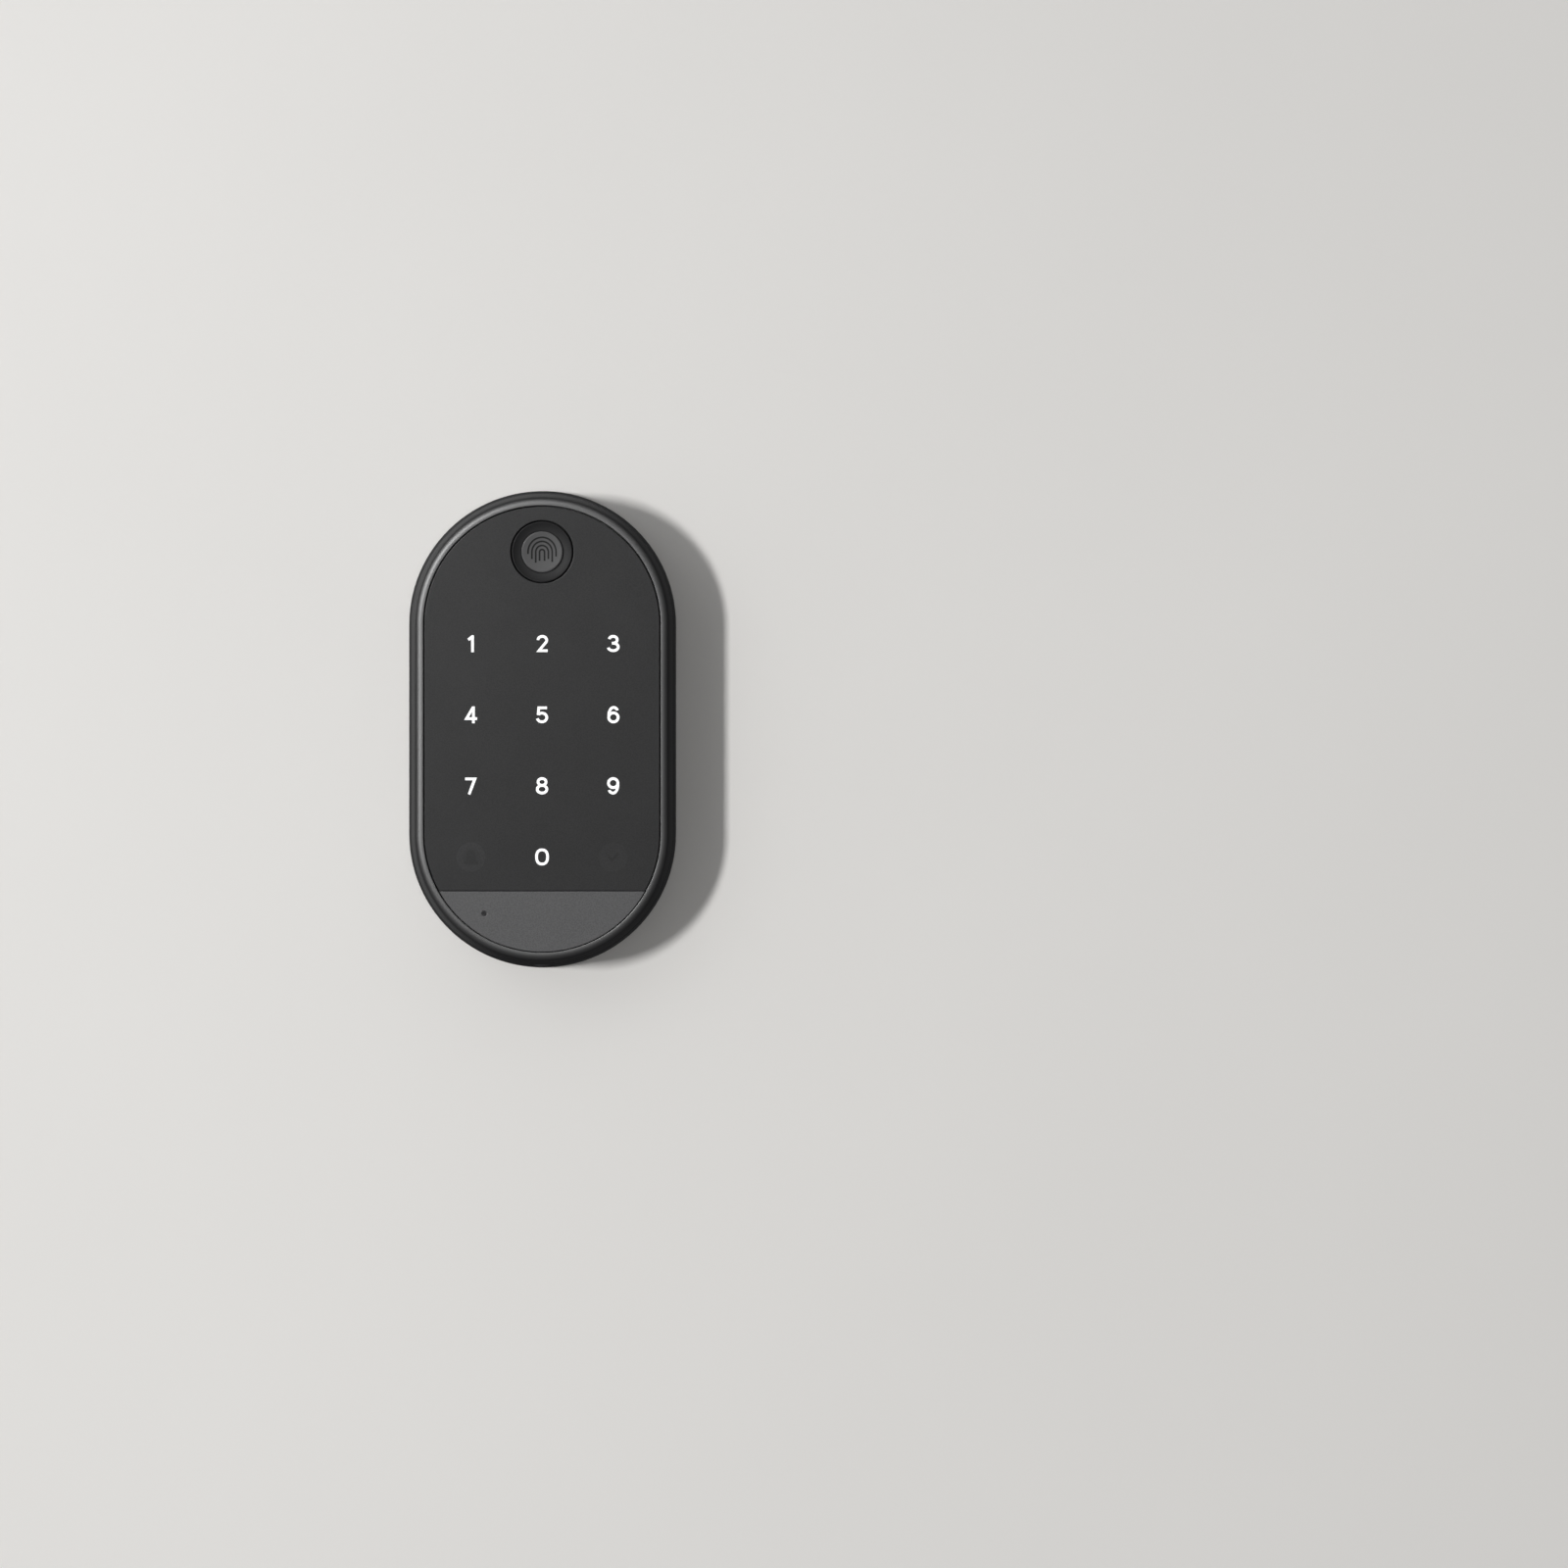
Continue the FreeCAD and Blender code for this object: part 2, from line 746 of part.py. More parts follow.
def rear_hollows(body):
    """Everything that is cut out of the back wall and of the blocks behind it."""
    recess = sketch_on(body, s.back_depth)
    side = cover_half + s.cover_play
    low = -cover_top - s.cover_slide - s.cover_play
    rectangle(recess, -side, side, low, cover_top + s.cover_play)
    cut(body, recess, recess_front - s.back_depth)
    bay = sketch_on(body, recess_front)
    rectangle(bay, -bay_half, bay_half, -bay_top, bay_top)
    cut(body, bay, bay_front - recess_front)

    under = sketch_on(body, cover_front - s.tab_thick - s.tab_play)
    notches = sketch_on(body, s.back_depth)
    reach = s.tab_reach + s.cover_play
    for hand in (-1, 1):
        edges = sorted((hand * cover_half, hand * (cover_half + reach)), key=lambda x: x.number)
        for level in (s.tab_upper, s.tab_lower):
            bottom = level - s.tab_length / 2 - s.cover_slide - s.cover_play
            top = level + s.tab_length / 2 + s.cover_play
            rectangle(under, *edges, bottom, top)
            rectangle(notches, *edges, bottom, top - s.cover_slide)
    cut(body, under, s.tab_thick + s.tab_play + s.cover_shelf)
    cut(body, notches, recess_front - s.back_depth)

    openings = sketch_on(body, s.back_depth)
    lip_rooms = sketch_on(body, back_front)
    half = s.hook_width / 2 + s.hook_gap
    for hand in (-1, 1):
        left = hand * hook_x - half
        for level in (s.hook_upper, s.hook_lower):
            low = level - s.hook_stem / 2 - s.lift - s.lift_spare
            seat = level + s.hook_stem / 2 + s.hook_seat
            rectangle(openings, left, left + 2 * half, low, seat)
            rectangle(lip_rooms, left, left + 2 * half, low, seat + s.hook_lip + s.hook_gap)
    cut(body, openings, pocket_front - s.back_depth)
    cut(body, lip_rooms, pocket_front - back_front)

    lug_room = sketch_on(body, s.back_depth)
    lug_half = s.lug_half + s.lift_spare
    rectangle(lug_room, -lug_half, lug_half, lug_pocket_bottom, lug_pocket_top)
    cut(body, lug_room, lug_pocket_front - s.back_depth)

    head_room = sketch_on(body, s.back_depth)
    passages = sketch_on(body, s.back_depth)
    for x, z in case_bosses():
        circle(head_room, x, z, s.case_screw_head + s.screw_pass)
        circle(passages, x, z, s.case_screw_radius + s.screw_pass)
    cut(body, head_room, s.back_thick - s.screw_pass)
    cut(body, passages, s.column_height - s.back_depth)

    pilots = sketch_on(body, board_front - s.board_screw_length)
    for x, z in posts:
        circle(pilots, x, z, s.board_screw_radius + s.screw_fit)
    cut(body, pilots, s.board_screw_length - s.board_thick)

    tails = sketch_on(body, bay_front)
    for hand in (-1, 1):
        middle = hand * 1.5 * s.battery_pitch
        half = s.tail_width / 2 + s.tail_play
        top = s.contact_thick + s.tail_play - bay_top
        rectangle(tails, middle - half, middle + half, -bay_top, top)
    cut(body, tails, s.bay_wall)


def make_rear_housing():
    body = new_body("rear")
    rear_shell(body)
    rear_blocks(body)
    rear_hollows(body)
    low = case_bottom - s.lock_screw_head_thick
    hole_high = lug_pocket_bottom + s.lift_spare
    head_radius = s.lock_screw_head + s.screw_pass
    head = upright("lock_head_room", 0, s.lock_screw_depth, low, lock_seat, head_radius)
    radius = s.lock_screw_radius + s.screw_pass
    passage = upright("lock_passage", 0, s.lock_screw_depth, low, hole_high, radius)
    keep(difference("rear_cut", body, fuse("lock_room", [head, passage])), "rear_housing")


# ------------------------------------------------------------------ front frame


def make_front_bezel():
    body = new_body("bezel")
    shell = sketch_on(body, frame_back)
    stadium(shell, outer_half(frame_back), arc_z, -arc_z)
    pad(body, shell, s.overall_depth - frame_back, s.draft)
    crest = rim_edges(body, s.overall_depth, outer_half(s.overall_depth))
    dress(body, "Fillet", crest, "Radius", s.lip_round)

    recess = sketch_on(body, ledge_front)
    stadium(recess, recess_half, arc_z, -arc_z)
    cut(body, recess, s.overall_depth - ledge_front)
    lip = rim_edges(body, s.overall_depth, recess_half)
    dress(body, "Chamfer", lip, "Size", s.lip_chamfer)

    inside = sketch_on(body, frame_back)
    stadium(inside, frame_inner, arc_z, -arc_z)
    cut(body, inside, ledge_back - frame_back)
    rebate = sketch_on(body, frame_back)
    stadium(rebate, rebate_half, arc_z, -arc_z)
    cut(body, rebate, seal_front - frame_back)
    window = sketch_on(body, ledge_back)
    stadium(window, ledge_half, arc_z, -arc_z)
    cut(body, window, s.ledge_thick)

    bar = sketch_on(body, ledge_back)
    half = s.bar_height / 2
    rectangle(bar, -ledge_half, ledge_half, seam_z - half, seam_z + half)
    pad(body, bar, s.ledge_thick)
    bosses = sketch_on(body, s.column_height)
    for x, z in case_bosses():
        circle(bosses, x, z, s.boss_radius)
    pad(body, bosses, ledge_back - s.column_height)
    pilots = sketch_on(body, s.column_height)
    for x, z in case_bosses():
        circle(pilots, x, z, s.case_screw_radius + s.screw_fit)
    cut(body, pilots, s.case_screw_length)

    slots = []
    for number in (-1, 0, 1):
        x = number * s.sound_slot_pitch
        low = s.sound_slot_depth - s.sound_slot_height / 2
        left = x - s.sound_slot_width / 2
        name = f"sound_slot_{number + 2}"
        bottom = -half_height
        top = -arc_z - frame_inner + s.mesh_margin
        right = left + s.sound_slot_width
        slots.append(box(name, left, right, low, low + s.sound_slot_height, bottom, top))
    keep(difference("bezel_cut", body, fuse("sound_slots", slots)), "front_bezel")


def make_sound_mesh():
    """A thin curved strip of mesh behind the sound slots."""
    reach = s.sound_slot_pitch + s.sound_slot_width / 2 + s.mesh_margin
    low = s.sound_slot_depth - s.sound_slot_height / 2 - s.mesh_margin
    high = s.sound_slot_depth + s.sound_slot_height / 2 + s.mesh_margin
    outer = rod("mesh_outer", 0, -arc_z, low, high, frame_inner)
    inner = rod("mesh_inner", 0, -arc_z, low, high, frame_inner - s.mesh_thick)
    field = box("mesh_field", -reach, reach, low, high, -half_height, -arc_z)
    strip = doc.addObject("Part::MultiCommon", "mesh_strip")
    strip.Shapes = [difference("mesh_ring", outer, inner), field]
    keep(strip, "sound_mesh")


def make_main_seal():
    body = new_body("seal")
    ring = sketch_on(body, tongue_front)
    stadium(ring, tongue_outer, arc_z, -arc_z)
    stadium(ring, rear_inner, arc_z, -arc_z)
    pad(body, ring, s.seal_thick)
    keep(body, "main_seal")


# ------------------------------------------------------------------- front face


def face_piece(name, back, thick, half, keep_above):
    """A plate of the outline's shape that ends at the seam, above it or below it."""
    body = new_body(name)
    whole = sketch_on(body, back)
    stadium(whole, half, arc_z, -arc_z)
    pad(body, whole, thick)
    rest = sketch_on(body, back)
    reach = half_width
    if keep_above:
        rectangle(rest, -reach, reach, -half_height, seam_z + s.seam_gap / 2)
    else:
        rectangle(rest, -reach, reach, seam_z - s.seam_gap / 2, half_height)
    cut(body, rest, thick)
    return body


def level_edges(body, depth):
    """Names of all edges that lie at a depth."""
    names = []
    for number, edge in enumerate(body.Shape.Edges, 1):
        if all(abs(vertex.Point.y + depth.number) < 1e-4 for vertex in edge.Vertexes):
            names.append(f"Edge{number}")
    return names


def make_touch_panel():
    body = face_piece("panel", panel_back, s.panel_thick, panel_half, True)
    hole = sketch_on(body, panel_back)
    circle(hole, 0, reader_z, reader_hole)
    cut(body, hole, s.panel_thick)
    dress(body, "Chamfer", level_edges(body, panel_front), "Size", s.panel_chamfer)
    keep(body, "touch_panel")


def make_lower_band():
    body = face_piece("band", panel_back, s.panel_thick, panel_half, False)
    hole = sketch_on(body, panel_back)
    circle(hole, pinhole_x, pinhole_z, s.pinhole_radius)
    cut(body, hole, s.panel_thick)
    dress(body, "Chamfer", level_edges(body, panel_front), "Size", s.panel_chamfer)
    tube = sketch_on(body, panel_back - s.pinhole_tube_length)
    circle(tube, pinhole_x, pinhole_z, reset_bore + s.pinhole_tube_wall)
    circle(tube, pinhole_x, pinhole_z, reset_bore)
    pad(body, tube, s.pinhole_tube_length)
    keep(body, "lower_band")


def make_panel_bond():
    """The ring of adhesive that holds the panel and the band on the frame's ledge."""
    body = new_body("bond")
    ring = sketch_on(body, ledge_front)
    stadium(ring, panel_half - s.bond_play, arc_z, -arc_z)
    stadium(ring, ledge_half + s.bond_play, arc_z, -arc_z)
    pad(body, ring, s.bond_thick)
    keep(body, "panel_bond")


def make_touch_film():
    body = new_body("film")
    sheet_sketch = sketch_on(body, guide_front)
    stadium(sheet_sketch, ledge_half - s.film_play, arc_z, -arc_z)
    pad(body, sheet_sketch, s.film_thick)
    below = sketch_on(body, guide_front)
    top = seam_z + s.bar_height / 2 + s.film_play
    rectangle(below, -half_width, half_width, -half_height, top)
    cut(body, below, s.film_thick)
    hole = sketch_on(body, guide_front)
    circle(hole, 0, reader_z, flange_half + s.film_play)
    cut(body, hole, s.film_thick)
    keep(body, "touch_film")


def key_places():
    rows = [key_top - number * s.key_pitch for number in range(4)]
    return [(column * s.key_pitch, row) for row in rows for column in (-1, 0, 1)]


def make_light_guide():
    guide = box("guide", -guide_half, guide_half, guide_back, guide_front, guide_bottom, guide_top)
    keep(guide, "light_guide")


def make_key_baffle():
    """The white frame that keeps each key's light in a cell of its own."""
    body = new_body("baffle")
    plate = sketch_on(body, board_front)
    rectangle(plate, -guide_half, guide_half, guide_bottom, guide_top)
    pad(body, plate, guide_back - board_front)
    cells = sketch_on(body, board_front)
    for x, z in key_places():
        rectangle(cells, x - s.cell_half, x + s.cell_half, z - s.cell_half, z + s.cell_half)
    cut(body, cells, guide_back - board_front)
    keep(body, "key_baffle")


def make_key_leds():
    leds = []
    for number, (x, z) in enumerate(key_places(), 1):
        name = f"led_{number}"
        leds.append(centred_box(name, x, z, s.led_side, s.led_side, board_front, s.led_thick))
    keep(group("led_group", leds), "key_leds")


# ----------------------------------------------------------- fingerprint reader


def round_piece(name, points, rounds=None):
    """A body turned about the reader's axis from (radius, depth) points."""
    body = new_body(name)
    bind(body, "Placement.Base.z", reader_z)
    sketch = sketch_on(body, 0, "YZ_Plane")
    outline(sketch, [(-Size.of(depth), radius) for radius, depth in points], rounds)
    turn = body.newObject("PartDesign::Revolution", name + "_turn")
    turn.Profile = sketch
    turn.ReferenceAxis = (origin_item(body, "Y_Axis"), [""])
    turn.Angle = 360
    settle(body, turn, 1)
    return body


def make_sensor_ring():
    """The dished ring: its face falls in a hollow curve from the rim to the disc."""
    neck_front = ring_front - s.ring_edge
    points = [
        (ring_bore, flange_back),
        (flange_half, flange_back),
        (flange_half, flange_front),
        (s.ring_radius, flange_front),
        (s.ring_radius, neck_front),
        (s.ring_radius - s.ring_edge, ring_front),
        (ring_bore, dish_floor),
    ]
    keep(round_piece("ring", points, {5: s.dish_curve}), "sensor_ring")


def make_sensor_disc():
    """The touch disc, with a chamfered edge and a shallow hollow for the fingertip."""
    face = dish_floor + s.disc_stand
    foot = flange_back
    points = [
        (0, foot),
        (s.disc_radius, foot),
        (s.disc_radius, face - s.disc_chamfer),
        (s.disc_radius - s.disc_chamfer, face),
        (0, face - s.disc_hollow),
    ]
    sag = s.disc_hollow
    chord = s.disc_radius - s.disc_chamfer
    curve = (chord * chord + sag * sag) / (2 * sag)
    keep(round_piece("disc", points, {3: curve}), "sensor_disc")


def make_sensor_body():
    shell = rod("reader_shell", 0, reader_z, reader_body_back, flange_back, s.reader_body_radius)
    keep(shell, "sensor_body")


def make_sensor_gasket():
    outer = rod("gasket_outer", 0, reader_z, flange_front, panel_back, flange_half)
    hole = reader_hole + s.ring_edge
    inner = rod("gasket_inner", 0, reader_z, flange_front, panel_back, hole)
    keep(difference("gasket", outer, inner), "sensor_gasket")


def make_sensor_flex():
    """The flat cable from the reader's side, with one bend down to its socket."""
    body = new_body("flex")
    bind(body, "Placement.Base.x", -s.flex_width / 2)
    side = sketch_on(body, 0, "YZ_Plane")
    thick = s.flex_thick
    high = reader_body_back + s.flex_inset
    low = board_front + s.socket_thick / 2
    start = reader_z - s.reader_body_radius
    end = socket_low + s.socket_height
    knee = (start - end) / 3
    middle = [(high, start), (high, start - knee), (low, end + knee), (low, end)]
    near = [(-depth, z) for depth, z in middle]
    far = [(-depth - thick, z) for depth, z in reversed(middle)]
    outline(side, near + far)
    pad(body, side, s.flex_width)
    keep(body, "sensor_flex")


# ---------------------------------------------------------------- circuit board


def make_main_board():
    body = new_body("board")
    blank = sketch_on(body, board_back)
    stadium(blank, board_half, arc_z, -arc_z)
    pad(body, blank, s.board_thick)
    holes = sketch_on(body, board_back)
    circle(holes, 0, reader_z, s.reader_body_radius + s.board_hole_play)
    for x, z in posts:
        circle(holes, x, z, s.board_screw_radius + s.screw_pass)
    cut(body, holes, s.board_thick)
    notches = sketch_on(body, board_back)
    for x, z in case_bosses():
        circle(notches, x, z, s.boss_radius + s.notch_play)
    cut(body, notches, s.board_thick)
    keep(body, "main_board")


def make_board_parts():
    edge = upper_post_x - s.post_radius - s.radio_gap
    level = bay_outer_top + s.chip_rise
    back = board_back - s.radio_thick
    x = s.radio_width / 2 - edge
    radio = centred_box("radio", x, level, s.radio_width, s.radio_height, back, s.radio_thick)
    keep(radio, "radio_module")
    back = board_back - s.chip_thick
    x = edge - s.chip_side / 2
    chip = centred_box("chip", x, level, s.chip_side, s.chip_side, back, s.chip_thick)
    keep(chip, "control_chip")
    half = s.socket_width / 2
    front = board_front + s.socket_thick
    socket = box("socket", -half, half, board_front, front, socket_low, socket_low + s.socket_height)
    keep(socket, "flex_socket")
    buzzer_z = -bay_outer_top - s.buzzer_drop
    back = board_back - s.buzzer_thick
    drum = rod("buzzer_drum", 0, buzzer_z, back, board_back, s.buzzer_radius)
    port_front = back + s.buzzer_case
    port = rod("buzzer_port", 0, buzzer_z, back, port_front, s.buzzer_port)
    keep(difference("buzzer_shell", drum, port), "buzzer")


def make_reset_parts():
    half = s.reset_switch_side / 2
    front = reset_switch_front
    left = pinhole_x - half
    low = pinhole_z - half
    right = left + s.reset_switch_side
    case = box("reset_case", left, right, board_front, front, low, low + s.reset_switch_side)
    floor = board_front + s.reset_floor
    bore = rod("reset_bore", pinhole_x, pinhole_z, floor, front, s.reset_stem_radius + s.reset_play)
    keep(difference("reset_box", case, bore), "reset_switch")
    head = rod("reset_head", pinhole_x, pinhole_z, reset_shoulder, reset_front, s.reset_radius)
    stem = rod("reset_stem", pinhole_x, pinhole_z, reset_tail, reset_shoulder, s.reset_stem_radius)
    keep(fuse("reset_plunger", [head, stem]), "reset_button")


# -------------------------------------------------------- batteries and contacts


def battery_places():
    """Side, and +1 or -1 for the end that carries the positive nub."""
    return [((number - 1.5) * s.battery_pitch, 1 - 2 * (number % 2)) for number in range(4)]


def make_batteries():
    for number, (x, way) in enumerate(battery_places(), 1):
        nub_end = way * (bay_top - s.contact_thick)
        shoulder = nub_end - way * s.battery_nub
        foot = nub_end - way * s.battery_length
        ends = sorted((shoulder, foot), key=lambda z: z.number)
        can = upright(f"can_{number}", x, battery_depth, *ends, s.battery_radius)
        ends = sorted((shoulder, nub_end), key=lambda z: z.number)
        nub = upright(f"nub_{number}", x, battery_depth, *ends, s.battery_nub_radius)
        keep(fuse(f"cell_{number}", [can, nub]), f"battery_{number}")


def make_contact_springs():
    """Bowed leaf springs: each stands on a contact plate and presses on a cell's flat end."""
    leaves = []
    for number, (x, way) in enumerate(battery_places(), 1):
        body = new_body(f"spring_{number}")
        bind(body, "Placement.Base.x", x - s.spring_width / 2)
        bind(body, "Placement.Base.y", -battery_depth)
        bind(body, "Placement.Base.z", way * (s.contact_thick - bay_top))
        foot = s.spring_foot
        crown = s.spring_crown
        high = s.spring_room
        thick = s.spring_thick
        outer = [(-foot, 0), (-crown, high), (crown, high), (foot, 0)]
        inner = [(foot - thick, 0), (crown - thick, high - thick)]
        inner += [(thick - crown, high - thick), (thick - foot, 0)]
        side = sketch_on(body, 0, "YZ_Plane")
        outline(side, [(y, way * Size.of(z)) for y, z in outer + inner])
        pad(body, side, s.spring_width)
        leaves.append(body)
    keep(group("leaves", leaves), "contact_springs")


def make_contact_plates():
    """Three link plates and two end plates, with a solder tail on each end plate."""
    pitch = s.battery_pitch
    half = s.contact_height / 2
    back = battery_depth - half
    front = battery_depth + half
    links = [(-1.5, -0.5, 1), (0.5, 1.5, 1), (-0.5, 0.5, -1)]
    plates = []
    for first, last, way in links + [(-1.5, -1.5, -1), (1.5, 1.5, -1)]:
        wall = way * bay_top
        ends = sorted((wall, wall - way * s.contact_thick), key=lambda z: z.number)
        name = f"contact_{len(plates) + 1}"
        left = first * pitch - half
        right = last * pitch + half
        plates.append(box(name, left, right, back, front, *ends))
    tails = []
    for side, plate in zip((-1, 1), plates[3:]):
        x = side * 1.5 * pitch
        low = -bay_top
        top = low + s.contact_thick
        left = x - s.tail_width / 2
        right = left + s.tail_width
        tail = box(f"tail_{plate.Name}", left, right, front, board_back, low, top)
        tails.append(fuse(f"end_{plate.Name}", [plate, tail]))
    keep(group("contacts", plates[:3] + tails), "contact_plates")


def make_battery_cover():
    body = new_body("cover")
    leaf = sketch_on(body, cover_back)
    rectangle(leaf, -cover_half, cover_half, -cover_top, cover_top)
    pad(body, leaf, s.cover_thick)
    tabs = sketch_on(body, cover_front - s.tab_thick)
    reach = cover_half + s.tab_reach
    for level in (s.tab_upper, s.tab_lower):
        low = level - s.tab_length / 2
        top = level + s.tab_length / 2
        rectangle(tabs, -reach, reach, low, top)
    pad(body, tabs, s.tab_thick)
    grip = sketch_on(body, cover_back)
    for number in range(4):
        low = 2 * s.grip_pitch - cover_top + number * s.grip_pitch
        rectangle(grip, -s.grip_width / 2, s.grip_width / 2, low, low + s.grip_height)
    cut(body, grip, s.grip_depth)
    keep(body, "battery_cover")


# -------------------------------------------------------------------- fasteners


def back_screw(name, x, z, seat, head, head_thick, radius, length):
    """A pan-head screw driven from the wall side: head behind the seat, shank in front."""
    crown = rod(name + "_head", x, z, seat - head_thick, seat, head)
    shank = rod(name + "_shank", x, z, seat, seat + length, radius)
    depth = s.drive_depth
    drive = hexagon(name + "_drive", x, z, s.drive_radius, seat - head_thick, depth)
    return difference(name, fuse(name + "_blank", [crown, shank]), drive)


def front_screw(name, x, z, seat, head, head_thick, radius, length):
    """A pan-head screw driven from the front into a post."""
    crown = rod(name + "_head", x, z, seat, seat + head_thick, head)
    shank = rod(name + "_shank", x, z, seat - length, seat, radius)
    depth = s.drive_depth
    drive = hexagon(name + "_drive", x, z, s.drive_radius, seat + head_thick - depth, depth)
    return difference(name, fuse(name + "_blank", [crown, shank]), drive)


def make_screws():
    seat = s.back_depth + s.back_thick - s.screw_pass
    case_screws = []
    for number, (x, z) in enumerate(case_bosses(), 1):
        head = (s.case_screw_head, s.case_screw_head_thick)
        name = f"case_screw_{number}"
        case_screws.append(
            back_screw(name, x, z, seat, *head, s.case_screw_radius, s.case_screw_length)
        )
    keep(group("case_screw_group", case_screws), "housing_screws")
    board_screws = []
    for number, (x, z) in enumerate(posts, 1):
        head = (s.board_screw_head, s.board_screw_head_thick)
        name = f"board_screw_{number}"
        board_screws.append(
            front_screw(name, x, z, board_front, *head, s.board_screw_radius, s.board_screw_length)
        )
    keep(group("board_screw_group", board_screws), "board_screws")


# ------------------------------------------------------------------ build, check


def write_parts():
    """Checks every object and shape, and then writes one file for each sub-part."""
    doc.recompute()
    for thing in doc.Objects:
        if "Invalid" in thing.State or "Error" in thing.State:
            raise ValueError(f"{thing.Name} failed: {thing.State}")
    for thing in node_objects:
        shape = thing.Shape
        if shape.isNull() or not shape.isValid() or not shape.Solids:
            raise ValueError(f"{thing.Label} has no valid solid")
    os.makedirs("parts", exist_ok=True)
    for thing in node_objects:
        thing.Shape.exportStep(f"parts/{thing.Label}.step")


make_wall_plate()
make_security_screw()
make_rear_housing()
make_front_bezel()
make_sound_mesh()
make_main_seal()
make_touch_panel()
make_lower_band()
make_panel_bond()
make_touch_film()
make_light_guide()
make_key_baffle()
make_key_leds()
make_sensor_ring()
make_sensor_disc()
make_sensor_body()
make_sensor_gasket()
make_sensor_flex()
make_main_board()
make_board_parts()
make_reset_parts()
make_batteries()
make_contact_springs()
make_contact_plates()
make_battery_cover()
make_screws()
write_parts()
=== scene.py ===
"""Looks of a wall keypad with touch digits and a round fingerprint reader.

Metres, +Z up. The wall is the plane Y = 0 and the keypad faces -Y. "Depth" is the
distance from the wall, so a point at depth d has Y = -d.
"""

import json
import math

import bmesh
import bpy
import numpy as np
from bpy.props import FloatProperty, FloatVectorProperty, PointerProperty
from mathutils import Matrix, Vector


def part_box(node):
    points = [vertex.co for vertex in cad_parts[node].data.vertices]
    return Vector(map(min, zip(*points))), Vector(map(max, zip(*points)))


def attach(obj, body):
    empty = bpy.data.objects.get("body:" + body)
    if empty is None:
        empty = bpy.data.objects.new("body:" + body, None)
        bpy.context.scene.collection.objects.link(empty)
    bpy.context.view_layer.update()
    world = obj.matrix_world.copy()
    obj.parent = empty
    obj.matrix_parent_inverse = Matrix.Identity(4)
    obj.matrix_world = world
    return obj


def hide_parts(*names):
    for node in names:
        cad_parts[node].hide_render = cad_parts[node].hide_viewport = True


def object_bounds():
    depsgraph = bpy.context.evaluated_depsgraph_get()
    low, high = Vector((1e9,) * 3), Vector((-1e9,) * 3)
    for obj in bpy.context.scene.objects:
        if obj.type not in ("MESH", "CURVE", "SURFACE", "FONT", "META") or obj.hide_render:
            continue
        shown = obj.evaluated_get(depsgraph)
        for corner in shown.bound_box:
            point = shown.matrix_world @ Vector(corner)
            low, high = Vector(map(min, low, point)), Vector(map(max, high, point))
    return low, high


bl_info = {
    "name": "Wall keypad looks",
    "version": (1, 0, 0),
    "blender": (4, 5, 0),
    "location": "3D View > Sidebar > Keypad",
    "description": "Builds the visible pieces and finishes of a wall keypad",
    "category": "Object",
}

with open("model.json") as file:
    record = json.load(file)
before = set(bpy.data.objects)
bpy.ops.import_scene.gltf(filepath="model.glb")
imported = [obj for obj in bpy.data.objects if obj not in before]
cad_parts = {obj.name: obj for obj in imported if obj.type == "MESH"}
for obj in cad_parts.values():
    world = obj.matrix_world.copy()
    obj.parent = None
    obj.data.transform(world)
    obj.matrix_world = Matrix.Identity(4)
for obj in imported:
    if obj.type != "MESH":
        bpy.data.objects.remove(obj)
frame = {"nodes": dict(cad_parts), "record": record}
CAD_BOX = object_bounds()

MM = 0.001
UNIT = "keypad_unit"

# Places that the CAD frame gives.
CASE_LOW, CASE_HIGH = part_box("rear_housing")
PANEL_LOW, PANEL_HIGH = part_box("touch_panel")
BAND_LOW, BAND_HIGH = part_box("lower_band")
RING_LOW, RING_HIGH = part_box("sensor_ring")
DISC_LOW, DISC_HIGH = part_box("sensor_disc")
LEDS_LOW, LEDS_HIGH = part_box("key_leds")
BUTTON_LOW, BUTTON_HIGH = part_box("reset_button")
FRONT = -CAD_BOX[0].y
DISC_FRONT = -DISC_LOW.y
CASE_HALF = round(CASE_HIGH.x, 5)
ARC = round(CASE_HIGH.z - CASE_HIGH.x, 5)
PANEL_HALF = round(PANEL_HIGH.x, 5)
PANEL_FRONT = -PANEL_LOW.y
PANEL_BACK = -PANEL_HIGH.y
READER = round((RING_LOW.z + RING_HIGH.z) / 2, 5)
KEY_PITCH = (LEDS_HIGH.z - LEDS_LOW.z) - (LEDS_HIGH.x - LEDS_LOW.x)
KEY_TOP = LEDS_HIGH.z - (LEDS_HIGH.x - LEDS_LOW.x - 2 * KEY_PITCH) / 2
SEAM = (PANEL_LOW.z + BAND_HIGH.z) / 2
PINHOLE = ((BUTTON_LOW.x + BUTTON_HIGH.x) / 2, (BUTTON_LOW.z + BUTTON_HIGH.z) / 2)

DISC_RIM = 0.25 * MM        # round edge of the touch disc
PRINT_ROOT = 0.1 * MM       # how far print is sunk in its face, so that no gap shows
GLYPH_HEIGHT = 4.7          # height at which the digits are drawn below


# ------------------------------------------------------------- sizes and colours


def length(name, description, default):
    return FloatProperty(name=name, description=description, default=default, unit="LENGTH", precision=5)


def colour(name, description, default):
    return FloatVectorProperty(
        name=name, description=description, default=default, subtype="COLOR", size=3, min=0, max=1
    )


def angle(name, description, degrees):
    default = math.radians(degrees)
    return FloatProperty(name=name, description=description, default=default, subtype="ANGLE")


def power(name, description, default):
    return FloatProperty(name=name, description=description, default=default, unit="POWER")


